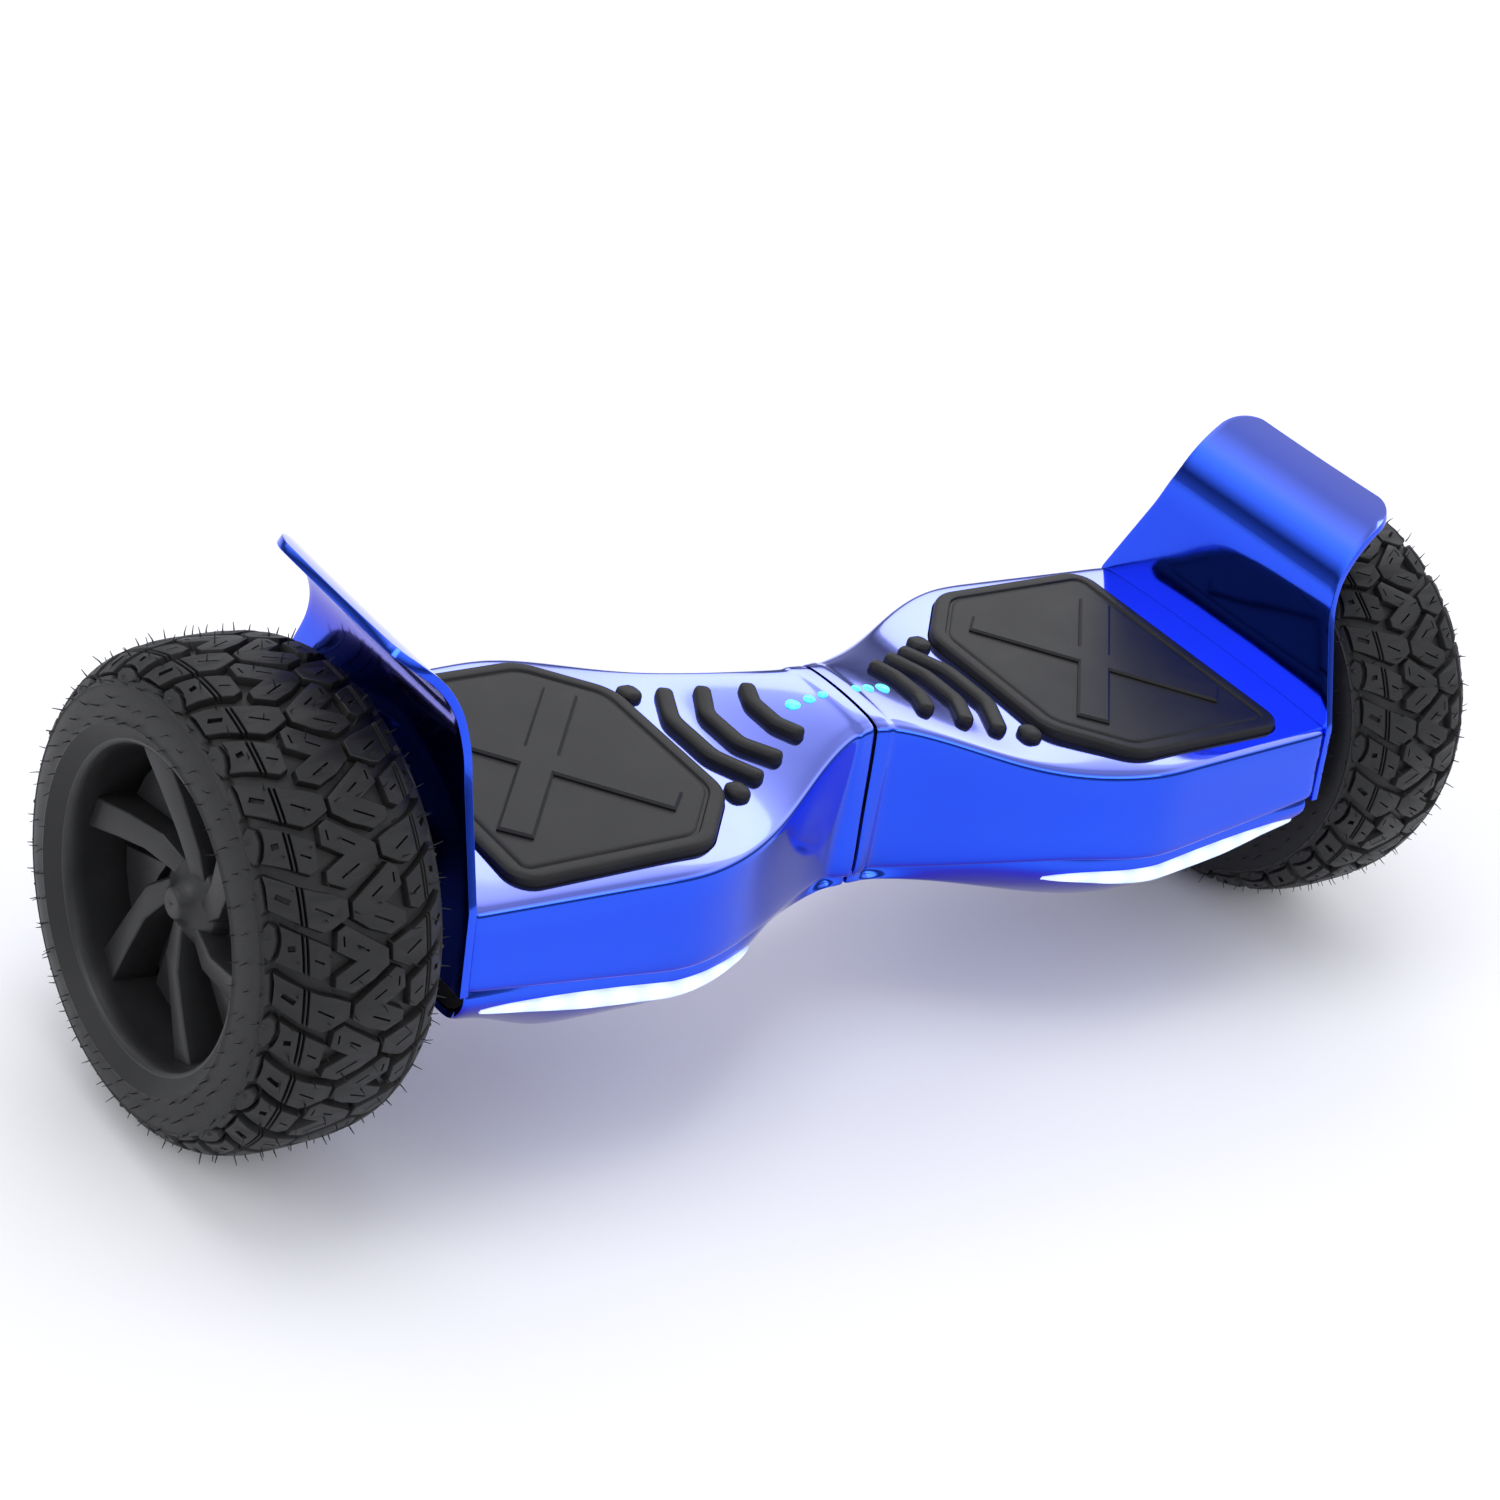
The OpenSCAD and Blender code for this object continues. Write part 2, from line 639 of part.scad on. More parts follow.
module motor_cover(side) {
    color([0.3, 0.3, 0.32]) place(side) difference() {
        turned([[axle_d / 2 + 1, bearing_x0 - 2.5], [boss_r, bearing_x0 - 2.5], [boss_r, cover_x],
            [rim_wall_r - 1, cover_x], [rim_wall_r - 1, cover_x + cover_t], [boss_r, cover_x + cover_t],
            [boss_r, bearing_x0 + bearing_w], [bearing_d / 2, bearing_x0 + bearing_w],
            [bearing_d / 2, bearing_x0], [axle_d / 2 + 1, bearing_x0]]);
        motor_screw_places() rod(cover_x - 2, 16, motor_screw_r + fit_gap);
    }
}

module motor_screws(side) {
    color([0.6, 0.6, 0.62]) place(side) motor_screw_places() {
        rod(cover_x - 2, 2, 3.5);
        rod(cover_x - 1, 12, motor_screw_r);
    }
}

module bearings(side) {
    color([0.75, 0.75, 0.77]) place(side) for (x = [bearing_x0, bearing_x1])
        difference() {
            ring(wheel_x + x, bearing_w, bearing_d / 2, axle_d / 2 + slip);
            for (e = [-1, bearing_w - 1]) ring(wheel_x + x + e, 2, bearing_d / 2 - 3, axle_d / 2 + 3);
        }
}

// The tyre's outline is a squared-off oval from one bead over the tread to the other
function tyre_curve(half, top, low, n, from) = let (power = 2 / tyre_square)
    [for (i = [0:n]) let (a = from + (180 - 2 * from) * i / n)
        [low + (top - low) * pow(abs(sin(a)), power), half * sign(cos(a)) * pow(abs(cos(a)), power)]];

module tyre(side) {
    inner_top = tyre_d / 2 - tyre_wall;
    color([0.1, 0.1, 0.1]) place(side) turned(concat(
        tyre_curve(tyre_w / 2, tyre_d / 2, rim_r - 3, 30, 5),
        [[rim_r, -rim_half + 1], [rim_r, 8 - rim_half]],
        backwards(tyre_curve(tyre_w / 2 - tyre_wall, inner_top, rim_r, 22, 12)),
        [[rim_r, rim_half - 8], [rim_r, rim_half - 1]]));
}

module inner_tube(side) {
    half = tyre_w / 2 - tyre_wall - fit_gap - 2;
    top = tyre_d / 2 - tyre_wall - fit_gap;
    low = rim_r + 1;
    color([0.08, 0.08, 0.08]) place(side) union() {
        difference() {
            turned(concat(tyre_curve(half, top, low, 22, 4), [[low, 0]]));
            turned(concat(tyre_curve(half - tube_skin, top - tube_skin, low + 2 * tube_skin, 22, 4),
                [[low + 2 * tube_skin, 0]]));
        }
        translate([wheel_x + valve_x, 0, rim_r - 12])
            cylinder(h = low - rim_r + 12 + 0.257 * (top - low), r = valve_r - fit_gap);
    }
}

module pivot_tube() {
    color([0.55, 0.56, 0.58]) place(1) difference() {
        ring(-collar_end, 2 * collar_end + 5, tube_d / 2, tube_d / 2 - tube_wall);
        ring(collar_end + 0.3, 1.7, tube_d, tube_d / 2 - 1.2);
        for (a = [-twist:3:twist]) rotate([a, 0, 0]) stop_rod(bolt_r);
    }
}

module stop_rod(r) { translate([30, 0, tube_d / 2 - 4]) cylinder(h = 16, r = r); }

module stop_screw() {
    color([0.2, 0.2, 0.22]) place(1) {
        translate([30, 0, tube_d / 2 - 2.5]) cylinder(h = 10.5, r = bolt_r - 0.5);
        translate([30, 0, tube_d / 2 + 6]) cylinder(h = 3, r = 4.5);
    }
}

module pivot_bushes() {
    color([0.75, 0.6, 0.3]) place(1) for (x = [seam_gap / 2 + wall + 1, collar_end - 16])
        ring(x, 16, bush_r, tube_d / 2 + slip);
}

module pivot_circlip() {
    color([0.35, 0.35, 0.37]) place(1) difference() {
        ring(collar_end + 0.4, 1.5, bush_r - clear, tube_d / 2 - 1.2);
        translate([collar_end, -3, 0]) cube([3, 6, 40]);
    }
}

module battery_pack() {
    color([0.1, 0.3, 0.6]) place(-1) translate([pack_x, -pack_w / 2, frame_floor - pack_h])
        cube([pack_len, pack_w, pack_h]);
}

module main_board() {
    color([0.05, 0.3, 0.12]) place(1) translate([pad_in + 24, -42, frame_floor - 4]) union() {
        translate([0, 0, -board_t]) cube([84, 84, board_t]);
        for (x = [6, 72]) for (y = [6, 72]) translate([x, y, -board_t]) cylinder(h = board_t + 4, r = 3);
        translate([14, 10, -9]) cube([52, 8, 9]);
        for (i = [0:3]) translate([20 + 14 * i, 66, -18]) cylinder(h = 18, r = 5);
        for (i = [0:2]) translate([18 + 18 * i, 36, -11]) cube([12, 14, 11]);
    }
}

module charging_port() {
    color([0.1, 0.1, 0.1]) place(1) difference() {
        panel_part(port_x, port_depth, port_d / 2);
        translate([port_x, skirt_y(port_x) - 12, panel_z]) rotate([-90, 0, 0])
            cylinder(h = 40, r = socket_d / 2);
    }
}

// A round piece in the back panel, ending level with the panel's lower edge
module panel_part(x, length, r) {
    translate([x, skirt_y(x) - length, panel_z]) rotate([-90, 0, 0]) cylinder(h = length, r = r);
}

module port_cap() {
    color([0.12, 0.12, 0.12]) place(1) union() {
        translate([port_x, skirt_y(port_x) + 0.3, panel_z]) rotate([-90, 0, 0])
            cylinder(h = cap_t, r = port_d / 2);
        translate([port_x - 4, skirt_y(port_x) + 0.3, panel_z + port_d / 2 - 1]) cube([8, cap_t, 4]);
    }
}

module power_button() {
    color([0.15, 0.15, 0.16]) place(1) panel_part(button_x, 12, button_d / 2);
}

module wiring_harness() {
    color([0.7, 0.1, 0.1]) place(1) translate([0, 0, 5 + tube_wall - tube_d / 2])
        rod(-collar_end - 2, 2 * collar_end + 4, 5);
}

top_cover(-1);  // left_top_cover
top_cover(1);  // right_top_cover
bottom_cover(-1);  // left_bottom_cover
bottom_cover(1);  // right_bottom_cover
fender(-1);  // left_fender
fender(1);  // right_fender
footpad(-1);  // left_footpad
footpad(1);  // right_footpad
pad_plate(-1);  // left_pad_plate
pad_plate(1);  // right_pad_plate
pad_feet(-1);  // left_pad_feet
pad_feet(1);  // right_pad_feet
sensor_board(-1);  // left_sensor_board
sensor_board(1);  // right_sensor_board
grip_strips(-1);  // left_grip_strips
grip_strips(1);  // right_grip_strips
status_lenses(-1);  // left_status_lenses
status_lenses(1);  // right_status_lenses
light_lenses(-1);  // left_light_lenses
light_lenses(1);  // right_light_lenses
light_boards(-1);  // left_light_boards
light_boards(1);  // right_light_boards
frame(-1);  // left_frame
frame(1);  // right_frame
axle(-1);  // left_axle
axle(1);  // right_axle
axle_clamp(-1);  // left_axle_clamp
axle_clamp(1);  // right_axle_clamp
clamp_bolts(-1);  // left_clamp_bolts
clamp_bolts(1);  // right_clamp_bolts
stator(-1);  // left_stator
stator(1);  // right_stator
magnets(-1);  // left_magnets
magnets(1);  // right_magnets
rim(-1);  // left_rim
rim(1);  // right_rim
motor_cover(-1);  // left_motor_cover
motor_cover(1);  // right_motor_cover
motor_screws(-1);  // left_motor_screws
motor_screws(1);  // right_motor_screws
bearings(-1);  // left_bearings
bearings(1);  // right_bearings
tyre(-1);  // left_tyre
tyre(1);  // right_tyre
inner_tube(-1);  // left_inner_tube
inner_tube(1);  // right_inner_tube
cover_screws(-1);  // left_cover_screws
cover_screws(1);  // right_cover_screws
fender_screws(-1);  // left_fender_screws
fender_screws(1);  // right_fender_screws
pivot_tube();
pivot_bushes();
pivot_circlip();
stop_screw();
battery_pack();
main_board();
charging_port();
port_cap();
power_button();
wiring_harness();
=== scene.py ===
"""Looks of a self-balancing board: plated covers, rubber pads, off-road tyres, lamps."""

import math
import random

import bmesh
import bpy
from mathutils import Matrix, Vector
from mathutils.geometry import tessellate_polygon


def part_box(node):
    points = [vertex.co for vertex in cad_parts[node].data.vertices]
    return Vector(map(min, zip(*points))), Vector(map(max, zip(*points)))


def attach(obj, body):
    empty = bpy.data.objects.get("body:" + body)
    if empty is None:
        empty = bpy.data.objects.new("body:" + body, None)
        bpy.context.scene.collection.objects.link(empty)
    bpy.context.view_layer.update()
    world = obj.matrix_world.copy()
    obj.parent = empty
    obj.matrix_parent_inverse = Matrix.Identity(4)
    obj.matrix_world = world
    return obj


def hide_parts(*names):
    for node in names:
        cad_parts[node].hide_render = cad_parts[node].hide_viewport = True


bl_info = {
    "name": "Balance Board Looks",
    "version": (1, 0, 0),
    "blender": (4, 5, 0),
    "location": "View3D > Sidebar > Board",
    "description": "Builds the visible pieces of a self-balancing board on its frame",
    "category": "Object",
}

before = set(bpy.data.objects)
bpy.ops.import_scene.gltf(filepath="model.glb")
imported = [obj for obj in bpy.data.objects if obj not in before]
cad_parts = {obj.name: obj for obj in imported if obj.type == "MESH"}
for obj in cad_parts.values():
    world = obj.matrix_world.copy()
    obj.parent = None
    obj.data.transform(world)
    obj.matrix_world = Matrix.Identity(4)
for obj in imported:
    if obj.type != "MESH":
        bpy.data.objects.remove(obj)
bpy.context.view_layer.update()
MM = 0.001
SIDES = (("left", -1), ("right", 1))


def mm_box(node):
    """A node's lowest and highest corners, in millimetres."""
    low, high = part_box(node)
    return [v / MM for v in low], [v / MM for v in high]


TYRE_LOW, TYRE_HIGH = mm_box("right_tyre")
COVER_LOW, COVER_HIGH = mm_box("right_top_cover")
PAD_LOW, PAD_HIGH = mm_box("right_footpad")
LENS_LOW, LENS_HIGH = mm_box("right_light_lenses")
AXLE_Z = (TYRE_LOW[2] + TYRE_HIGH[2]) / 2
WHEEL_X = (TYRE_LOW[0] + TYRE_HIGH[0]) / 2
TYRE_R = (TYRE_HIGH[2] - TYRE_LOW[2]) / 2
TYRE_HALF = (TYRE_HIGH[0] - TYRE_LOW[0]) / 2
SEAM_X = COVER_LOW[0]
COVER_X = COVER_HIGH[0]
AXLE_HOLE = 21.0


# Settings: the sizes and colours that a user would change

def linear(hex_text):
    """Turns an sRGB hex colour to the linear values that a shader takes."""
    channels = [int(hex_text[i:i + 2], 16) / 255 for i in (1, 3, 5)]
    return tuple(c / 12.92 if c <= 0.04045 else ((c + 0.055) / 1.055) ** 2.4 for c in channels) + (1.0,)


def length(name, description, size_mm):
    """A size that a user can set, given in millimetres and kept in metres."""
    return bpy.props.FloatProperty(name=name, description=description, default=size_mm * MM, min=0.0,
                                   precision=4, subtype="DISTANCE", unit="LENGTH")


def amount(name, description, default, least):
    """A whole number that a user can set."""
    return bpy.props.IntProperty(name=name, description=description, default=default, min=least,
                                 subtype="UNSIGNED")


def tint(name, description, hex_text):
    """A colour that a user can set, given as sRGB hex."""
    return bpy.props.FloatVectorProperty(name=name, description=description, default=linear(hex_text),
                                         min=0.0, max=1.0, size=4, subtype="COLOR")


class BoardSizes(bpy.types.PropertyGroup):
    """Sizes of the visible pieces"""
    waist: length("Waist", "Width of the deck at the waist", 54.4)
    hips: length("Hips", "Width of the deck at its widest", 173.0)
    end_width: length("End width", "Width of the deck at the wheel end", 163.0)
    hip_x: length("Hip place", "Distance from the middle to the widest place", 142.0)
    deck_rise: length("Deck rise", "Height of the deck edge above the axle", 32.5)
    waist_rise: length("Waist rise", "Extra height of the deck edge at the waist", 10.4)
    wall: length("Wall", "Wall of the covers", 2.6)
    collar: length("Collar", "How far the collar at the seam stands out", 1.5)
    grip_height: length("Grip height", "How far the grip strips stand up", 3.8)
    tread_depth: length("Tread depth", "Depth of the tread", 3.6)
    pitches: amount("Tread pitches", "Repeats of the tread round a tyre", 16, 8)
    hairs: amount("Moulding hairs", "Vent hairs on each tyre", 560, 0)


class BoardFinishes(bpy.types.PropertyGroup):
    """Colours of the finishes"""
    # Plating colours by facing: upper and curves carry a painted highlight, undercut and lower a painted
    # shade; sides are the plating's own tint.
    plate_top: tint("Plating, upper", "Tinted plating where it faces up", "#8593FF")
    plate_curve: tint("Plating, curves", "Tinted plating halfway between side and top", "#2F62F6")
    plate_side: tint("Plating, sides", "Tinted plating on the sides", "#1C4BEA")
    plate_under: tint("Plating, undercut", "Tinted plating where it turns under", "#2B27CC")
    plate_low: tint("Plating, lower", "Tinted plating where it faces down", "#2C1FB6")
    rubber: tint("Pad rubber", "Silicone rubber of the pads and strips", "#151516")
    tyre: tint("Tyre rubber", "Rubber of the tyres", "#141414")
    rim: tint("Rim coating", "Powder coat of the rims", "#232324")
    lamp: tint("Lamp light", "Light of the lamp strips", "#CFE0FF")
    status: tint("Status light", "Light of the status lamps", "#58E6E0")
    floor: tint("Floor", "Studio floor", "#F4F4F5")


def size(key):
    """A size that is set, in millimetres."""
    return round(getattr(bpy.context.scene.board_sizes, key) / MM, 4)


def colour(key):
    """A colour that is set, as linear values."""
    return tuple(getattr(bpy.context.scene.board_finishes, key))


# Materials

def put(tree, kind, settings=None, links=None, stops=()):
    """Adds one shader node with its settings, socket values, links and colour stops."""
    made = tree.nodes.new(kind)
    for key, value in (settings or {}).items():
        if hasattr(made, key):
            setattr(made, key, value)
        else:
            made.inputs[key].default_value = value
    for key, source in (links or {}).items():
        tree.links.new(source, made.inputs[key])
    while stops and len(made.color_ramp.elements) < len(stops):
        made.color_ramp.elements.new(0.5)
    for element, (place, shade) in zip(made.color_ramp.elements if stops else (), stops):
        element.position = place
        element.color = shade
    return made


def new_material(name):
    """A new material with its node tree and main shader; no tree if it is there already."""
    material = bpy.data.materials.get(name)
    if material:
        return material, None, None
    material = bpy.data.materials.new(name)
    material.use_nodes = True
    tree = material.node_tree
    return material, tree, tree.nodes["Principled BSDF"]


def dress(tree, shader, values, links):
    """Sets a shader's own values and links."""
    for key, value in values.items():
        shader.inputs[key].default_value = value
    for key, source in links.items():
        tree.links.new(source, shader.inputs[key])


def per_metre(size_mm):
    """The scale of a texture whose features are this many millimetres across."""
    return 1.0 / (size_mm * MM)


def grain(tree, size_mm, detail):
    """A pattern of noise in the object's own space, with features of a real size."""
    place = put(tree, "ShaderNodeTexCoord")
    noise = put(tree, "ShaderNodeTexNoise", {"Scale": per_metre(size_mm), "Detail": detail},
                {"Vector": place.outputs["Object"]})
    return noise.outputs


def moulded_look(tree, shader, tones=None, wear=None, fine=None):
    """Gives a shader what a real surface has besides its plain values.

    tones is a pattern and two (place, colour) stops that it fades between, wear is a pattern
    and the lowest and highest roughness, and fine is a pattern and its real depth in mm.
    """
    if tones:
        pattern, stops = tones
        shade = put(tree, "ShaderNodeValToRGB", None, {"Fac": pattern["Fac"]}, stops)
        tree.links.new(shade.outputs["Color"], shader.inputs["Base Color"])
    if wear:
        pattern, low, high = wear
        level = put(tree, "ShaderNodeMapRange", {"To Min": low, "To Max": high}, {"Value": pattern["Fac"]})
        tree.links.new(level.outputs["Result"], shader.inputs["Roughness"])
    if fine:
        pattern, depth_mm = fine
        bump = put(tree, "ShaderNodeBump", {"Distance": depth_mm * MM}, {"Height": pattern["Fac"]})
        tree.links.new(bump.outputs["Normal"], shader.inputs["Normal"])


def paler(shade, times):
    """A colour made lighter, for rubbed or dusty places."""
    return tuple(min(1.0, c * times) for c in shade[:3]) + (1.0,)


def plated_abs():
    """Injection-moulded ABS with a mirror electroplate under a violet-blue tinted coat, with a painted
    highlight on upward faces and a painted shade on downward ones.
    """
    # The tint is painted by facing: deepest blue on the sides, a pale violet painted highlight where faces
    # turn up and a darker violet painted shade where they turn down; the moulding shows as a very faint
    # waviness in the reflections.
    material, tree, shader = new_material("plated_abs_tinted")
    if tree is None:
        return material
    facing = put(tree, "ShaderNodeNewGeometry")
    split = put(tree, "ShaderNodeSeparateXYZ", None, {"Vector": facing.outputs["Normal"]})
    upward = put(tree, "ShaderNodeMapRange", {"From Min": -1.0, "From Max": 1.0},
                 {"Value": split.outputs["Z"]})
    # Painted highlight on upward faces and painted shade on downward faces, picked by the normal's height.
    tint_and_painted_light = put(tree, "ShaderNodeValToRGB", None, {"Fac": upward.outputs["Result"]}, (
        (0.0, colour("plate_low")), (0.36, colour("plate_under")), (0.5, colour("plate_side")),
        (0.77, colour("plate_curve")), (0.95, colour("plate_top"))))
    cloud = grain(tree, 60.0, 2.0)
    shade = put(tree, "ShaderNodeMixRGB", {"blend_type": "MULTIPLY", "Fac": 0.12},
                {"Color1": tint_and_painted_light.outputs["Color"], "Color2": cloud["Color"]})
    dress(tree, shader, {"Metallic": 1.0, "Coat Weight": 0.3, "Coat Roughness": 0.03},
          {"Base Color": shade.outputs["Color"]})
    moulded_look(tree, shader, None, (grain(tree, 3.0, 2.0), 0.06, 0.13), (grain(tree, 26.0, 1.0), 0.06))
    return material


def moulded_rubber(name, shade, grain_mm, depth_mm, roughness, gloss):
    """Moulded rubber: a fine matt grain with paler rubbed places."""
    material, tree, shader = new_material(name)
    if tree is None:
        return material
    patch = grain(tree, 24.0, 5.0)
    dress(tree, shader, {"IOR": 1.52, "Specular IOR Level": gloss}, {})
    tones = (patch, ((0.38, shade), (0.68, paler(shade, 1.55))))
    moulded_look(tree, shader, tones, (patch, *roughness), (grain(tree, grain_mm, 4.0), depth_mm))
    return material


def pad_rubber():
    """Silicone rubber with the soft sheen of a spark-eroded mould."""
    return moulded_rubber("silicone_rubber_moulded", colour("rubber"), 0.9, 0.05, (0.4, 0.54), 0.22)


def tyre_rubber():
    """Vulcanised tyre rubber, matt, with a bloom that greys it in places."""
    return moulded_rubber("tyre_rubber_vulcanised", colour("tyre"), 1.4, 0.09, (0.44, 0.64), 0.38)


def coated_rim():
    """Die-cast aluminium under a dark powder coat: an even orange-peel skin."""
    material, tree, shader = new_material("aluminium_powder_coated")
    if tree is None:
        return material
    base = colour("rim")
    dress(tree, shader, {"Roughness": 0.42, "Metallic": 0.25}, {})
    tones = (grain(tree, 14.0, 4.0), ((0.35, base), (0.7, paler(base, 1.3))))
    moulded_look(tree, shader, tones, None, (grain(tree, 1.1, 3.0), 0.05))
    return material


def lamp_lens():
    """Frosted polycarbonate over a row of diodes, brightest over each diode."""
    material, tree, shader = new_material("polycarbonate_frosted_lit")
    if tree is None:
        return material
    light = colour("lamp")
    place = put(tree, "ShaderNodeTexCoord")
    diode_gap = 9.0
    row = put(tree, "ShaderNodeTexWave", {"Scale": per_metre(diode_gap) / 6.283, "Distortion": 0.4,
                                          "wave_profile": "SIN", "bands_direction": "X"},
              {"Vector": place.outputs["Object"]})
    glow = put(tree, "ShaderNodeMapRange", {"To Min": 0.5, "To Max": 0.8}, {"Value": row.outputs["Fac"]})
    dress(tree, shader, {"Base Color": light, "Emission Color": light, "Roughness": 0.22},
          {"Emission Strength": glow.outputs["Result"]})
    moulded_look(tree, shader, None, None, (grain(tree, 1.6, 2.0), 0.05))
    return material


def status_lens():
    """Small tinted light pipes, lit from behind, a little deeper in colour in places."""
    material, tree, shader = new_material("light_pipe_tinted_lit")
    if tree is None:
        return material
    glow = put(tree, "ShaderNodeValToRGB", None, {"Fac": grain(tree, 2.0, 1.0)["Fac"]},
               ((0.3, linear("#35D6D2")), (0.75, colour("status"))))
    dress(tree, shader, {"Emission Strength": 1.1, "Roughness": 0.15},
          {"Base Color": glow.outputs["Color"], "Emission Color": glow.outputs["Color"]})
    return material


def plain_finish(name, hex_text, metallic, roughness, grain_mm, depth_mm):
    """A part's own finish: its colour with a slow variation and its surface grain."""
    material, tree, shader = new_material(name)
    if tree is None:
        return material
    base = linear(hex_text)
    fine = grain(tree, grain_mm, 3.0)
    dress(tree, shader, {"Metallic": metallic}, {})
    tones = (grain(tree, 12.0, 4.0), ((0.35, base), (0.7, paler(base, 1.25))))
    wear = (fine, roughness * 0.85, min(1.0, roughness * 1.2))
    moulded_look(tree, shader, tones, wear, (fine, depth_mm))
    return material


def moulded_abs():
    """Plain dark ABS of the walls inside the covers, with a fine moulded grain."""
    return plain_finish("abs_dark_moulded", "#17171C", 0.0, 0.5, 0.8, 0.03)


# Finishes of the pieces that keep their machined shape:
# name, colour, metallic, roughness, grain in mm, depth in mm
PART_FINISHES = {
    "frame": ("aluminium_die_cast", "#A7A9AC", 1.0, 0.42, 1.2, 0.08),
    "axle_clamp": ("aluminium_die_cast", "#A7A9AC", 1.0, 0.42, 1.2, 0.08),
    "axle": ("steel_turned", "#B4B5B8", 1.0, 0.26, 0.5, 0.02),
    "bearings": ("steel_ground", "#C2C3C6", 1.0, 0.2, 0.4, 0.01),
    "motor_cover": ("aluminium_powder_coated_plain", "#38383A", 0.3, 0.45, 1.1, 0.05),
    "motor_screws": ("steel_zinc_plated", "#B9B7AE", 1.0, 0.3, 0.6, 0.02),
    "clamp_bolts": ("steel_black_oxide", "#2A2A2D", 0.8, 0.4, 0.6, 0.02),
    "cover_screws": ("steel_black_oxide", "#2A2A2D", 0.8, 0.4, 0.6, 0.02),
    "fender_screws": ("steel_black_oxide", "#2A2A2D", 0.8, 0.4, 0.6, 0.02),
    "stator": ("copper_enamelled_wound", "#B5652D", 0.9, 0.34, 1.2, 0.2),
    "magnets": ("magnet_nickel_plated", "#8D8E92", 1.0, 0.24, 0.5, 0.01),
    "inner_tube": ("butyl_rubber", "#1B1B1C", 0.0, 0.6, 1.2, 0.05),
    "pad_plate": ("nylon_glass_filled", "#2C2C2E", 0.0, 0.5, 0.7, 0.03),
    "pad_feet": ("silicone_rubber_soft", "#232324", 0.0, 0.55, 0.9, 0.03),
    "sensor_board": ("circuit_board_masked", "#0F5A2C", 0.0, 0.35, 0.8, 0.02),
    "light_boards": ("circuit_board_white", "#D9DAD4", 0.0, 0.4, 0.8, 0.02),
}
SINGLE_FINISHES = {
    "pivot_tube": ("steel_drawn_tube", "#A9AAAD", 1.0, 0.3, 0.8, 0.02),
    "pivot_bushes": ("bronze_sintered", "#A5803F", 1.0, 0.4, 0.5, 0.03),
    "pivot_circlip": ("spring_steel", "#4A4B4F", 1.0, 0.35, 0.5, 0.01),
    "stop_screw": ("steel_black_oxide", "#2A2A2D", 0.8, 0.4, 0.6, 0.02),
    "battery_pack": ("shrink_wrap_blue", "#1E4C9A", 0.0, 0.25, 3.0, 0.1),
    "main_board": ("circuit_board_masked", "#0F5A2C", 0.0, 0.35, 0.8, 0.02),
    "charging_port": ("nylon_black", "#1F1F20", 0.0, 0.42, 0.7, 0.03),
    "port_cap": ("silicone_rubber_soft", "#232324", 0.0, 0.55, 0.9, 0.03),
    "power_button": ("abs_black_textured", "#242426", 0.0, 0.45, 0.6, 0.04),
    "wiring_harness": ("polyester_braid_red", "#8E1B14", 0.0, 0.6, 0.8, 0.15),
}


# Mesh helpers

def new_object(name, verts, faces):
    """An object in the scene from points in millimetres."""
    mesh = bpy.data.meshes.new(name)
    mesh.from_pydata([Vector(v) * MM for v in verts], [], faces)
    made = bpy.data.objects.new(name, mesh)
    bpy.context.scene.collection.objects.link(made)
    return made


def piece(name, verts, faces, material, body, nodes=(), smooth=35.0):
    """Makes a named piece from points in millimetres, on its body and with its finish."""
    made = new_object(name, verts, faces)
    made.data.validate()
    tidy(made, smooth)
    made.data.materials.append(material)
    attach(made, body)
    if nodes:
        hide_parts(*nodes)
    return made


def tidy(made, smooth):
    """Merges doubles, turns faces outwards and sets which edges stay sharp."""
    cage = bmesh.new()
    cage.from_mesh(made.data)
    bmesh.ops.remove_doubles(cage, verts=cage.verts, dist=0.00001)
    bmesh.ops.recalc_face_normals(cage, faces=cage.faces)
    limit = math.radians(smooth)
    for face in cage.faces:
        face.smooth = True
    for edge in cage.edges:
        edge.smooth = not (len(edge.link_faces) == 2 and edge.calc_face_angle(0.0) > limit)
    cage.to_mesh(made.data)
    cage.free()


def applied(made, smooth=35.0):
    """Applies every modifier that a piece has."""
    depsgraph = bpy.context.evaluated_depsgraph_get()
    baked = bpy.data.meshes.new_from_object(made.evaluated_get(depsgraph))
    made.modifiers.clear()
    old = made.data
    made.data = baked
    bpy.data.meshes.remove(old)
    tidy(made, smooth)


def add_modifier(made, kind, **settings):
    """Adds a modifier with its settings."""
    modifier = made.modifiers.new(kind.lower(), kind)
    for key, value in settings.items():
        setattr(modifier, key, value)


def strip_faces(rows, columns, closed_columns=False, closed_rows=False, start=0):
    """Quads between neighbouring rows of a grid of points."""
    faces = []
    for i in range(rows if closed_rows else rows - 1):
        for j in range(columns if closed_columns else columns - 1):
            a, b = start + i * columns, start + (i + 1) % rows * columns
            k = (j + 1) % columns
            faces.append((a + j, b + j, b + k, a + k))
    return faces


def add_shape(verts, faces, shape):
    """Adds a shape's points and faces to those of a piece."""
    points, sides = shape
    start = len(verts)
    faces += [tuple(start + k for k in face) for face in sides]
    verts += points


def cut(made, cutters):
    """Cuts closed cutters out of a piece and removes them."""
    for tool in cutters:
        add_modifier(made, "BOOLEAN", operation="DIFFERENCE", object=tool, solver="EXACT")
    applied(made)
    for tool in cutters:
        bpy.data.objects.remove(tool)


def cutter(name, verts, faces):
    """A closed shape to cut with, which no piece keeps."""
    made = new_object(name, verts, faces)
    tidy(made, 30)
    return made


def prism(name, outline, low, high):
    """An upright cutter from an outline."""
    n = len(outline)
    verts = [(x, y, low) for x, y in outline] + [(x, y, high) for x, y in outline]
    faces = [tuple(range(n))[::-1], tuple(range(n, 2 * n))]
    faces += [(i, (i + 1) % n, n + (i + 1) % n, n + i) for i in range(n)]
    return cutter(name, verts, faces)


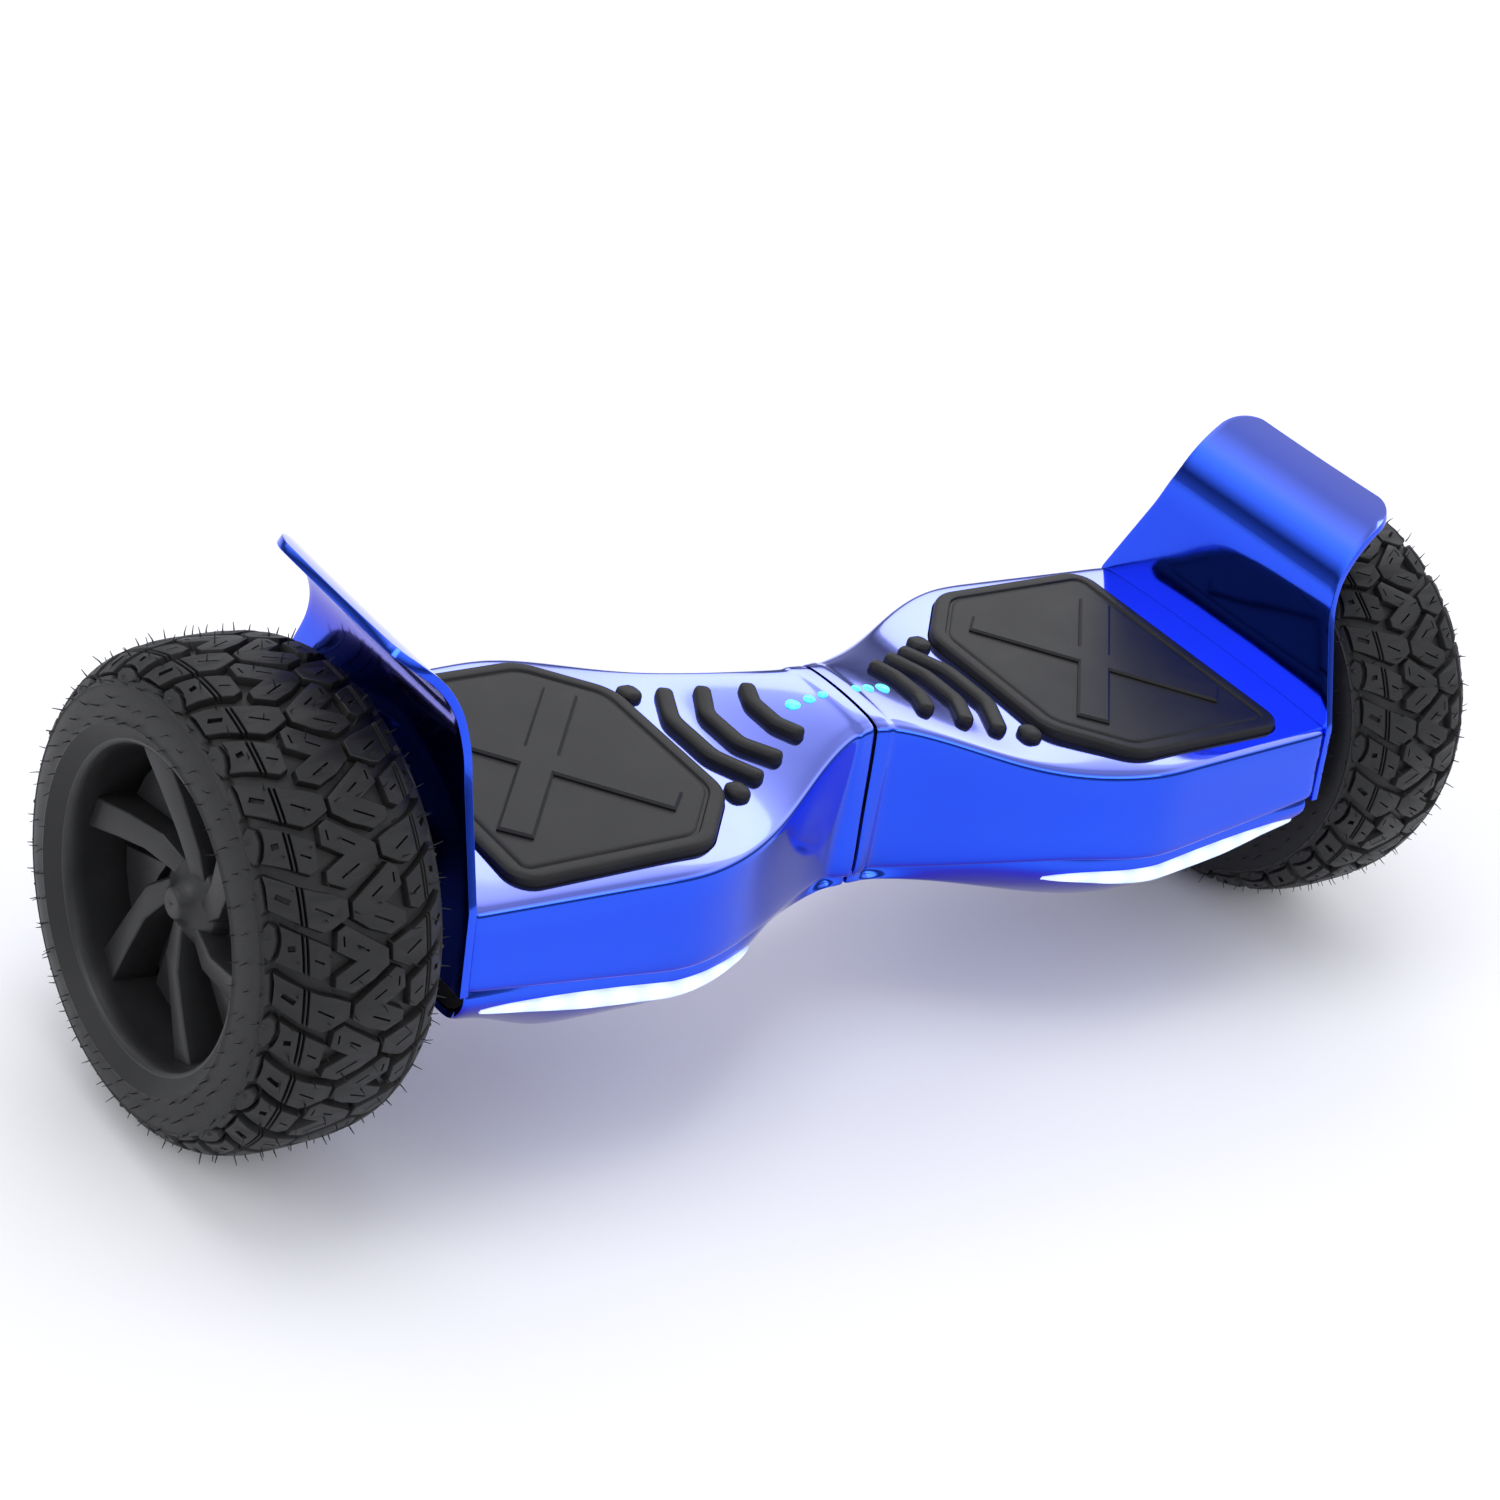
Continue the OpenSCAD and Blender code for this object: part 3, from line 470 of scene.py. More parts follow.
def rod_cutter(name, axis, centre, radius, half_length):
    """A cylinder along X or Y for cutting a round hole."""
    sides = 48
    verts = []
    for end in (-half_length, half_length):
        for i in range(sides):
            turn = 2 * math.pi * i / sides
            u, v = radius * math.cos(turn), radius * math.sin(turn)
            local = (end, u, v) if axis == "X" else (u, end, v)
            verts.append(tuple(c + d for c, d in zip(centre, local)))
    faces = strip_faces(2, sides, closed_columns=True)
    faces += [tuple(range(sides)), tuple(range(sides, 2 * sides))]
    return cutter(name, verts, faces)


def rounded_outline(corners, radii, inset):
    """A polygon moved in by inset, with every corner an arc of the same number of points."""
    steps = 7
    n = len(corners)
    lines = []
    for i in range(n):
        a, b = Vector(corners[i]), Vector(corners[(i + 1) % n])
        along = (b - a).normalized()
        inward = Vector((-along.y, along.x))
        lines.append((a + inward * inset, along))
    points = []
    for i in range(n):
        (pa, da), (pb, db) = lines[i - 1], lines[i]
        cross = da.x * db.y - da.y * db.x
        t = ((pb.x - pa.x) * db.y - (pb.y - pa.y) * db.x) / cross
        corner = pa + da * t
        radius = max(radii[i] - inset, 0.8)
        half_turn = math.acos(max(-1.0, min(1.0, da.dot(db)))) / 2
        reach = radius * math.tan(half_turn)
        start = corner - da * reach
        centre = start + Vector((-da.y, da.x)) * radius
        first = math.atan2(start.y - centre.y, start.x - centre.x)
        for k in range(steps + 1):
            a = first + 2 * half_turn * k / steps
            points.append((centre.x + radius * math.cos(a), centre.y + radius * math.sin(a)))
    return points


def stacked_rings(rings):
    """Points and faces of closed rings joined one to the next, with both ends shut."""
    n = len(rings[0])
    verts = [p for ring in rings for p in ring]
    faces = strip_faces(len(rings), n, closed_columns=True)
    faces += [tuple(range(n))[::-1], tuple(range((len(rings) - 1) * n, len(rings) * n))]
    return verts, faces


def revolve(profile, sides):
    """Turns (radius, outward place) points round the wheel's axis, from the wheel's middle."""
    verts = []
    for i in range(sides):
        turn = 2 * math.pi * i / sides
        verts += [(x, r * math.cos(turn), r * math.sin(turn)) for r, x in profile]
    return verts, strip_faces(sides, len(profile), closed_columns=True, closed_rows=True)


def to_side(verts, side):
    """Moves what is drawn for the right half, from the axle up, to its own side."""
    return [(side * x, y, z + AXLE_Z) for x, y, z in verts]


def to_wheel(verts, side):
    """Moves what is drawn round a wheel's middle to the wheel on one side."""
    return [(side * (x + WHEEL_X), y, z + AXLE_Z) for x, y, z in verts]


# The covers' shape, in millimetres from the axle up, x from the seam to the wheel

def ease(t):
    """A step from 0 to 1 with soft ends."""
    u = max(0.0, min(1.0, t))
    return u * u * (3 - 2 * u)


def past_hips(x):
    """How far x lies from the hips to the wheel end, from 0 to 1."""
    return max(0.0, x - size("hip_x")) / (COVER_X - size("hip_x"))


def collar(x):
    """How far the collar at the seam stands out at x."""
    return size("collar") * (1 - ease((x - 8.5) / 2.2))


def edge_y(x):
    """How far out the deck's edge lies."""
    hips, waist = size("hips"), size("waist")
    grow = (hips - waist) / 2 * ease((max(0.0, x) / size("hip_x")) ** 0.88)
    taper = (hips - size("end_width")) / 2 * past_hips(x)
    return waist / 2 + grow - taper + 0.6 * collar(x)


def edge_z(x):
    """How high the deck's edge lies."""
    dip = 2.2 * math.exp(-((x - 90) / 30) ** 2)
    return size("deck_rise") + size("waist_rise") * (1 - ease(x / 78)) - dip + 0.3 * collar(x)


def skirt_y(x):
    """How far out the side panel's lower edge lies."""
    return edge_y(x) + 6 + 5 * (1 - ease(x / 16))


def skirt_z(x):
    """How high the side panel's lower edge lies."""
    return -30 + 17.5 * ease((x - 12) / 100) + 10 * past_hips(x)


def keel_y(x):
    """How far out the underside's edge lies."""
    return 36 + 29 * ease(x / size("hip_x")) + 16.5 * ease((x - COVER_X + 55) / 60)


def keel_z(x):
    """How high the underside lies."""
    return -37 - 14.5 * ease(x / size("hip_x")) + 30 * ease((x - COVER_X + 65) / 70)


def deck_z(x, y):
    """Height of the deck's top face."""
    across = min(1.0, abs(y) / max(1.0, edge_y(x)))
    return edge_z(x) + 2.0 * (1 - across ** 2.2)


def top_section(x):
    """Half of the upper cover's section, from the panel's lower edge to the middle."""
    ye, ze, ys, zs = edge_y(x), edge_z(x), skirt_y(x), skirt_z(x)
    h = ze - zs
    return [(ys - 1.2, zs), (ys - 0.1, zs + 0.9), (ys - 0.2, zs + 0.12 * h),
            (ye + 0.62 * (ys - ye), zs + 0.4 * h), (ye + 0.28 * (ys - ye) + 0.4, zs + 0.74 * h),
            (ye + 1.0, ze - 5.5), (ye + 0.35, ze - 2.4), (ye - 1.1, ze - 0.55), (ye - 4.5, ze + 0.1),
            (ye * 0.8, deck_z(x, ye * 0.8)), (ye * 0.5, deck_z(x, ye * 0.5)),
            (ye * 0.22, deck_z(x, ye * 0.22)), (0, deck_z(x, 0))]


def low_section(x):
    """Half of the lower cover's section, from its upper edge to the middle."""
    ys, zs, yk, zk = skirt_y(x) - 3.2, skirt_z(x) - 0.7, keel_y(x), keel_z(x)
    h = zs - zk
    bulge = 3.0 * ease((x - 60) / 40)
    return [(ys - 0.8, zs + 3.0), (ys, zs), (ys - 0.2 + bulge, zs - 0.22 * h),
            (yk + 0.62 * (ys - yk) + bulge, zs - 0.55 * h), (yk + 0.2 * (ys - yk), zk + 0.16 * h),
            (yk - 2.0, zk + 1.2), (yk - 8, zk), (yk * 0.45, zk), (0, zk)]


def cover_stations():
    """Where the covers' sections stand: close together at the collar, then evenly."""
    near = [SEAM_X, SEAM_X + 0.8, 5.0, 8.2, 10.0, 12.0, 16.0, 23.0]
    count = 20
    last = near[-1]
    return near + [last + (COVER_X - last) * i / count for i in range(1, count)] + [COVER_X - 0.8, COVER_X]


def shell_cage(section):
    """A cover as rows of mirrored sections, open at both ends."""
    rows = []
    stations = cover_stations()
    for x in stations:
        half = section(x)
        full = half + [(-y, z) for y, z in half[-2::-1]]
        squeeze = 0.985 if x in (stations[0], stations[-1]) else 1.0
        rows.append([(x, y * squeeze, z) for y, z in full])
    columns = len(rows[0])
    verts = [p for row in rows for p in row]
    return verts, strip_faces(len(rows), columns)


def build_shell(name, section, half, side, node, cutters):
    """A cover: its cage smoothed, given its wall and cut."""
    verts, faces = shell_cage(section)
    made = piece(name, to_side(verts, side), faces, plated_abs(), half, [node])
    add_modifier(made, "SUBSURF", levels=2, render_levels=2)
    applied(made)
    add_modifier(made, "SOLIDIFY", thickness=size("wall") * MM, offset=-1.0, use_even_offset=True)
    applied(made)
    if cutters:
        cut(made, cutters)


def end_plate(x, inset, hole, thickness):
    """A flat wall across a half at x, with a round hole for the tube or the axle."""
    ring = [(y, z) for y, z in top_section(x)]
    ring += [(-y, z) for y, z in top_section(x)[-2::-1]]
    ring += [(-y, z) for y, z in low_section(x)[2:]] + [(y, z) for y, z in low_section(x)[-2:1:-1]]
    centre_z = sum(z for _, z in ring) / len(ring)
    wide = max(y for y, _ in ring)
    high = max(z for _, z in ring) - centre_z
    ring = [(y * (1 - inset / wide), centre_z + (z - centre_z) * (1 - inset / high)) for y, z in ring]
    sides = 40
    turns = [2 * math.pi * k / sides for k in range(sides)]
    circle = [(hole * math.cos(turn), hole * math.sin(turn)) for turn in turns]
    flat = [[Vector((y, z, 0)) for y, z in ring], [Vector((y, z, 0)) for y, z in circle[::-1]]]
    points = ring + circle[::-1]
    tris = tessellate_polygon(flat)
    n = len(points)
    verts = [(x, y, z) for y, z in points] + [(x + thickness, y, z) for y, z in points]
    faces = [tuple(tri) for tri in tris] + [tuple(n + i for i in tri) for tri in tris]
    for start, count in ((0, len(ring)), (len(ring), sides)):
        for i in range(count):
            a, b = start + i, start + (i + 1) % count
            faces.append((a, b, n + b, n + a))
    return verts, faces


def pad_corners():
    """The foot pad's outline, anticlockwise, with a nose towards the waist."""
    nose, half = 42.0, (PAD_HIGH[1] - PAD_LOW[1]) / 2
    near, far = PAD_LOW[0], PAD_HIGH[0]
    shoulder = near + 32
    corners = [(near, -nose), (shoulder, -half), (far, -half), (far, half), (shoulder, half), (near, nose)]
    return corners, [22.0, 22.0, 13.0, 13.0, 22.0, 22.0]


class BOARD_OT_covers(bpy.types.Operator):
    """Upper and lower covers: smoothed shells of plated plastic, cut for the pads, port and button"""
    bl_idname = "board.covers"
    bl_label = "Covers"

    def execute(self, context):
        corners, radii = pad_corners()
        for name, side in SIDES:
            opening = [(side * x, y) for x, y in rounded_outline(corners, radii, -0.7)]
            cutters = [prism(f"{name}_pad_opening", opening, AXLE_Z + 12, AXLE_Z + 60)]
            if side > 0:
                for node, gap in (("charging_port", 0.2), ("power_button", 0.35)):
                    low, high = mm_box(node)
                    centre = [(a + b) / 2 for a, b in zip(low, high)]
                    radius = (high[2] - low[2]) / 2 + gap
                    cutters.append(rod_cutter(f"{node}_hole", "Y", centre, radius, 18))
            half = f"{name}_half"
            build_shell(f"{name}_upper_cover", top_section, half, side, f"{name}_top_cover", cutters)
            build_shell(f"{name}_lower_cover", low_section, half, side, f"{name}_bottom_cover", [])
            verts, faces = end_plate(SEAM_X + 1.5, 3.2, 24.0, 2.0)
            add_shape(verts, faces, end_plate(COVER_X - 3.5, 3.2, AXLE_HOLE, 2.0))
            piece(f"{name}_end_walls", to_side(verts, side), faces, moulded_abs(), half)
        return {"FINISHED"}


# Fenders, in millimetres from the axle up

FENDER_CORNER = 15.0
FENDER_FOLD = 58.0
FENDER_BLEND = 14.0
FENDER_SHEET = 3.8
CURL_START = 82.0
CURL_R = 56.0
CURL_TURN = math.radians(66)


def fender_half(z, left):
    """Half the fender's width at height z, with left mm of plate up to its top edge."""
    foot, rise = size("end_width") / 2, z - size("deck_rise")
    if rise < 0:
        return foot - 6 * rise / (size("deck_rise") + 4)
    bend = min(max(rise - FENDER_FOLD + FENDER_BLEND, 0.0), 2 * FENDER_BLEND)
    slope = min(rise, FENDER_FOLD + FENDER_BLEND) - bend ** 2 / (4 * FENDER_BLEND)
    taper = 0.42 * slope + 0.08 * max(0.0, rise - FENDER_FOLD)
    bite = max(0.0, FENDER_CORNER - left)
    return foot - taper - (FENDER_CORNER - math.sqrt(FENDER_CORNER ** 2 - bite ** 2))


def fender_path():
    """The fender's side view: out from the cover, height and lean; straight, then a curl."""
    path = [(0.0, -4 + (CURL_START + 4) * i / 26, 0.0) for i in range(27)]
    for i in range(1, 31):
        angle = CURL_TURN * (1 - (1 - i / 30) ** 1.5)
        path.append((CURL_R * (1 - math.cos(angle)), CURL_START + CURL_R * math.sin(angle), angle))
    return path


class BOARD_OT_fenders(bpy.types.Operator):
    """Fender plates: a straight foot, a curl over the tyre and a rolled rim"""
    bl_idname = "board.fenders"
    bl_label = "Fenders"

    def execute(self, context):
        path = fender_path()
        columns = 33
        for name, side in SIDES:
            verts = []
            for x, z, angle in path:
                half = fender_half(z, CURL_R * (CURL_TURN - angle) + max(0.0, CURL_START - z))
                for j in range(columns):
                    t = 2 * j / (columns - 1) - 1
                    bow = 0.4 * (1 - t * t) * ease((z - 40) / 30)
                    out = COVER_X + 0.15 + x + bow * math.cos(angle)
                    verts.append((out, t * half, z - bow * math.sin(angle)))
            faces = strip_faces(len(path), columns)
            made = piece(f"{name}_fender_plate", to_side(verts, side), faces, plated_abs(), f"{name}_half",
                         [f"{name}_fender"])
            face_away(made, side)
            add_modifier(made, "SOLIDIFY", thickness=FENDER_SHEET * MM, offset=-1.0, use_rim=True)
            add_modifier(made, "BEVEL", width=1.5 * MM, segments=4, limit_method="ANGLE",
                         angle_limit=math.radians(50))
            applied(made)
            middle = (side * (COVER_X + 2), 0, AXLE_Z)
            cut(made, [rod_cutter(f"{name}_fender_hole", "X", middle, AXLE_HOLE, 8)])
        return {"FINISHED"}


def face_away(made, side):
    """Turns an open sheet's faces towards the middle of the board."""
    cage = bmesh.new()
    cage.from_mesh(made.data)
    cage.faces.ensure_lookup_table()
    if cage.faces[0].normal.x * side > 0:
        bmesh.ops.reverse_faces(cage, faces=cage.faces)
    cage.to_mesh(made.data)
    cage.free()


# Foot pads, grips, lamps

def cross_outline(centre, reach, width, angle):
    """The outline of two bars that cross, anticlockwise, from their tips and their notches."""
    turns = [angle, math.pi - angle, math.pi + angle, 2 * math.pi - angle]
    points = []
    for i, turn in enumerate(turns):
        along = Vector((math.cos(turn), math.sin(turn)))
        across = Vector((-along.y, along.x)) * width / 2
        points += [centre + along * reach - across, centre + along * reach + across]
        after = turns[(i + 1) % 4] + (2 * math.pi if i == 3 else 0)
        half = (after - turn) / 2
        notch = Vector((math.cos(turn + half), math.sin(turn + half)))
        points.append(centre + notch * (width / 2 / math.sin(half)))
    return [tuple(p) for p in points]


class BOARD_OT_pads(bpy.types.Operator):
    """Foot pads: a rounded border, a groove, a raised field and a crossed relief"""
    bl_idname = "board.pads"
    bl_label = "Foot pads"

    def execute(self, context):
        corners, radii = pad_corners()
        low, high = PAD_LOW[2] - AXLE_Z, PAD_HIGH[2] - AXLE_Z
        # From the foot to the field: how far in each ring lies, and its height
        levels = [(0.4, low), (0.0, low + 0.5), (0.0, high - 3.4), (0.5, high - 2.3), (1.5, high - 1.6),
                  (2.8, high - 1.3), (6.0, high - 1.25), (6.8, high - 1.45), (7.4, high - 2.3),
                  (8.6, high - 2.35), (9.2, high - 1.9), (9.9, high - 1.65), (11.4, high - 1.6),
                  (16.0, high - 1.6)]
        mid = Vector(((PAD_LOW[0] + PAD_HIGH[0]) / 2 + 5, 0))
        reach, width, lean = 61.0, 15.5, math.radians(47)
        for name, side in SIDES:
            rings = [[(x, y, z) for x, y in rounded_outline(corners, radii, inset)] for inset, z in levels]
            verts, faces = stacked_rings(rings)
            cross = cross_outline(mid, reach, width, lean)
            crest = cross_outline(mid, reach - 1.2, width - 2.4, lean)
            relief = [[(x, y, z) for x, y in outline]
                      for outline, z in ((cross, high - 2.0), (cross, high - 0.9), (crest, high - 0.02))]
            add_shape(verts, faces, stacked_rings(relief))
            piece(f"{name}_foot_pad", to_side(verts, side), faces, pad_rubber(), f"{name}_pad",
                  [f"{name}_footpad"], smooth=28)
        return {"FINISHED"}


# Half of a strip's domed top to the other half, as shares of its half width and its height
STRIP_DOME = [(-1.0, 0.05), (-0.97, 0.55), (-0.84, 0.86), (-0.6, 1.0), (0.0, 1.04),
              (0.6, 1.0), (0.84, 0.86), (0.97, 0.55), (1.0, 0.05)]
STRIP_ROOT = 3.0
STUD_HALF = 5.4
# Each chevron: how far its ends lie from the pad, half its length, its sweep and its half width
CHEVRONS = ((23.3, 37.2, 11.5, 4.2), (38.6, 29.9, 10.0, 4.1), (56.0, 21.4, 5.5, 4.0))


def round_end(t):
    """How full a round end is at t of its length."""
    return math.sqrt(max(0.0, 1 - (1 - min(1.0, t)) ** 2))


def ribbon(path, half_width, height):
    """A domed strip along a path on the deck, with round ends and a root in the cover."""
    verts = []
    count = len(path)
    section = [(-1.0, -STRIP_ROOT / height)] + STRIP_DOME + [(1.0, -STRIP_ROOT / height)]
    total = sum((Vector(path[i + 1]) - Vector(path[i])).length for i in range(count - 1))
    run = 0.0
    for i, (x, y) in enumerate(path):
        here = Vector((x, y))
        before = Vector(path[max(0, i - 1)])
        after = Vector(path[min(count - 1, i + 1)])
        along = (after - before).normalized()
        across = Vector((-along.y, along.x))
        if i:
            run += (here - before).length
        end = min(run, total - run)
        width = half_width * round_end(end / half_width) + 0.05
        rise = height * min(1.0, 0.25 + 0.75 * round_end(end / (0.6 * half_width)))
        base = deck_z(x, y)
        for a, b in section:
            p = here + across * (a * width)
            verts.append((p.x, p.y, base + (b * rise if b > 0 else b * height)))
    columns = len(section)
    faces = strip_faces(count, columns, closed_columns=True)
    faces += [tuple(range(columns)), tuple(range((count - 1) * columns, count * columns))[::-1]]
    return verts, faces


def chevron_path(end_x, half, sweep):
    """Points along a chevron, with its bends eased."""
    steps = 46
    corners = [Vector((end_x, -half)), Vector((end_x + sweep, -0.4 * half)),
               Vector((end_x + sweep, 0.4 * half)), Vector((end_x, half))]
    lengths = [(corners[i + 1] - corners[i]).length for i in range(3)]
    total = sum(lengths)
    path = []
    for k in range(steps + 1):
        run = total * (0.5 - 0.5 * math.cos(math.pi * k / steps))
        i = 0
        while i < 2 and run > lengths[i]:
            run -= lengths[i]
            i += 1
        path.append(corners[i].lerp(corners[i + 1], min(1.0, run / lengths[i])))
    for _ in range(2):
        eased = [(path[i - 1] + path[i] * 2 + path[i + 1]) / 4 for i in range(1, steps)]
        path = [path[0]] + eased + [path[-1]]
    return [tuple(p) for p in path]


class BOARD_OT_grips(bpy.types.Operator):
    """Grip strips: three chevrons and two round studs on each half"""
    bl_idname = "board.grips"
    bl_label = "Grip strips"

    def execute(self, context):
        near, height = PAD_LOW[0], size("grip_height")
        turns = [math.sin(math.pi * (k / 12 - 0.5)) for k in range(13)]
        for name, side in SIDES:
            verts, faces = [], []
            for away, half, sweep, half_width in CHEVRONS:
                add_shape(verts, faces, ribbon(chevron_path(near - away, half, sweep), half_width, height))
            for y in (-40.5, 40.5):
                path = [(near - 7.1 + 0.1 * t, y + 6.2 * t) for t in turns]
                add_shape(verts, faces, ribbon(path, STUD_HALF, height * 0.85))
            piece(f"{name}_grips", to_side(verts, side), faces, pad_rubber(), f"{name}_half",
                  [f"{name}_grip_strips"], smooth=40)
        return {"FINISHED"}


class BOARD_OT_status(bpy.types.Operator):
    """Status lamps: three light pipes in small raised rings"""
    bl_idname = "board.status"
    bl_label = "Status lamps"

    def execute(self, context):
        turns = [2 * math.pi * k / 32 for k in range(32)]
        for name, side in SIDES:
            verts, faces = [], []
            for x, diameter in ((26.1, 7.0), (17.2, 5.5), (9.7, 4.5)):
                top, r = deck_z(x, 0), diameter / 2
                dome = [(r, -4), (r, 0.15), (r * 0.93, 0.5), (r * 0.7, 0.8), (r * 0.35, 1.0), (0.05, 1.05)]
                rings = [[(x + a * math.cos(turn), a * math.sin(turn), top + h) for turn in turns]
                         for a, h in dome]
                add_shape(verts, faces, stacked_rings(rings))
            piece(f"{name}_status_lamps", to_side(verts, side), faces, status_lens(), f"{name}_half",
                  [f"{name}_status_lenses"])
        return {"FINISHED"}


LAMP_HALF = 5.3
LAMP_DROP = 11.0


def lower_wall(x, z):
    """Outer face of the lower cover at a height, from the straight parts of its section."""
    side = low_section(x)
    for (ya, za), (yb, zb) in zip(side[1:], side[2:]):
        if zb <= z <= za:
            return ya + (yb - ya) * (za - z) / max(0.001, za - zb)
    return side[1][0]


class BOARD_OT_lamps(bpy.types.Operator):
    """Lamp strips: long lenses that swell out of the lower covers"""
    bl_idname = "board.lamps"
    bl_label = "Lamp strips"

    def execute(self, context):
        x0, x1 = LENS_LOW[0], LENS_HIGH[0]
        count, across = 60, 9
        for name, side in SIDES:
            verts, faces = [], []
            for front in (-1, 1):
                start = len(verts)
                for i in range(count + 1):
                    u = 0.5 - 0.5 * math.cos(math.pi * i / count)
                    x = x0 + (x1 - x0) * u
                    half = LAMP_HALF * max(0.02, math.sin(math.pi * u)) ** 0.42
                    mid = skirt_z(x) - LAMP_DROP
                    for j in range(across):
                        v = 2 * j / (across - 1) - 1
                        z = mid + v * half
                        swell = 2.6 * (1 - abs(v) ** 2.6) * math.sin(math.pi * u) ** 0.5 + 0.25
                        verts.append((x, front * (lower_wall(x, z) + swell), z))
                    for z in (mid + half, mid - half):
                        verts.append((x, front * (lower_wall(x, z) - 2.2), z))
                width = across + 2
                last = start + count * width
                faces += strip_faces(count + 1, width, closed_columns=True, start=start)
                faces += [tuple(range(start, start + width)), tuple(range(last, last + width))[::-1]]
            piece(f"{name}_lamp_strips", to_side(verts, side), faces, lamp_lens(), f"{name}_half",
                  [f"{name}_light_lenses"], smooth=50)
        return {"FINISHED"}


# Tyres, in millimetres from the wheel's middle

# How square the tyre's section is, and the radius where it meets the rim
TYRE_SQUARE = 3.2
BEAD_R = 66.0


class TyreShape:
    """The tyre's outline and the places on its tread"""

    def __init__(self):
        steps = 400
        self.table = []
        run = 0.0
        last = None
        for i in range(steps + 1):
            a = math.pi / 2 - (math.pi / 2 - math.radians(4)) * i / steps
            x, r = self.at_angle(a)
            if last:
                run += math.hypot(x - last[0], r - last[1])
            self.table.append((run, a))
            last = (x, r)

    def at_angle(self, a):
        """Outward place and radius at an angle round the section, from its middle line."""
        power = 2 / TYRE_SQUARE
        x = TYRE_HALF * math.copysign(abs(math.cos(a)) ** power, math.cos(a))
        return x, BEAD_R + (TYRE_R - BEAD_R) * abs(math.sin(a)) ** power

    def angle_of(self, arc):
        """The angle round the section at a distance across the tread."""
        for (r0, a0), (r1, a1) in zip(self.table, self.table[1:]):
            if r1 >= abs(arc):
                a = a0 + (a1 - a0) * (abs(arc) - r0) / max(1e-6, r1 - r0)
                return a if arc >= 0 else math.pi - a
        a = self.table[-1][1]
        return a if arc >= 0 else math.pi - a

    def section(self, arc, lift):
        """Outward place and radius at a distance across the tread, lifted along the outward normal."""
        a = self.angle_of(arc)
        x, r = self.at_angle(a)
        xa, ra = self.at_angle(a + 0.01)
        tx, tr = x - xa, r - ra
        size = math.hypot(tx, tr) or 1.0
        nx, nr = -tr / size, tx / size
        if nx * x + nr * (r - BEAD_R) < 0:
            nx, nr = -nx, -nr
        return x + nx * lift, r + nr * lift

    def point(self, arc, around, lift):
        """A place on the tyre: arc across it, around in millimetres along the crown."""
        x, r = self.section(arc, lift)
        turn = around / TYRE_R
        return (x, r * math.cos(turn), r * math.sin(turn))


def split_outline(outline, longest):
    """The outline with more points, so that it can follow the tyre's curve."""
    points = []
    for i, a in enumerate(outline):
        b = outline[(i + 1) % len(outline)]
        parts = max(1, math.ceil(math.dist(a, b) / longest))
        step = ((b[0] - a[0]) / parts, (b[1] - a[1]) / parts)
        points += [(a[0] + step[0] * k, a[1] + step[1] * k) for k in range(parts)]
    return points


def shrink(outline, amount):
    """Moves every corner of an anticlockwise outline inwards."""
    n = len(outline)
    moved = []
    for i in range(n):
        a, b, c = Vector(outline[i - 1]), Vector(outline[i]), Vector(outline[(i + 1) % n])
        d0, d1 = (b - a).normalized(), (c - b).normalized()
        n0, n1 = Vector((-d0.y, d0.x)), Vector((-d1.y, d1.x))
        mean = n0 + n1
        scale = amount / max(0.35, mean.length_squared / 2)
        moved.append(tuple(b + mean * scale))
    return moved


def ring_sides(shape, rings, offset, verts, faces):
    """Adds a block's sides from rings of (outline, lift), and says where they start."""
    n, start = len(rings[0][0]), len(verts)
    for ring, lift in rings:
        verts += [shape.point(w, s + offset, lift) for w, s in ring]
    for k in range(len(rings) - 1):
        a, b = start + k * n, start + (k + 1) * n
        faces += [(a + i, b + i, b + (i + 1) % n, a + (i + 1) % n) for i in range(n)]
    return start


def tread_block(shape, outline, sipes, offset, depth, verts, faces):
    """A block of tread with draft on its sides, a softened edge and cut sipes."""
    outline = split_outline(outline, 7.0)
    rings = [(shrink(outline, 0.5), 0.0), (shrink(outline, 0.15), -0.2), (outline, -0.7),
             (shrink(outline, -0.55), -depth)]
    start = ring_sides(shape, rings, offset, verts, faces)
    loops = [rings[0][0]]
    ids = list(range(start, start + len(outline)))
    for centre_w, centre_s, long_half, thick, angle in sipes:
        c, s = math.cos(angle), math.sin(angle)
        corners = [(-long_half, -thick), (long_half, -thick), (long_half, thick), (-long_half, thick)]
        hole = [(centre_w + u * c - v * s, centre_s + u * s + v * c) for u, v in corners]
        top = len(verts)
        for lift in (0.0, -SIPE_DEPTH):
            verts += [shape.point(w, t + offset, lift) for w, t in hole]
        faces += [(top + i, top + (i + 1) % 4, top + 4 + (i + 1) % 4, top + 4 + i) for i in range(4)]
        faces.append((top + 4, top + 5, top + 6, top + 7))
        loops.append(hole[::-1])
        ids += [top + 3, top + 2, top + 1, top]
    flat = [[Vector((w, s, 0)) for w, s in loop] for loop in loops]
    faces += [tuple(ids[i] for i in tri) for tri in tessellate_polygon(flat)]


# How far round from the wheel's back the first pitch starts
TREAD_START = 16.1
SIPE_DEPTH = 2.2

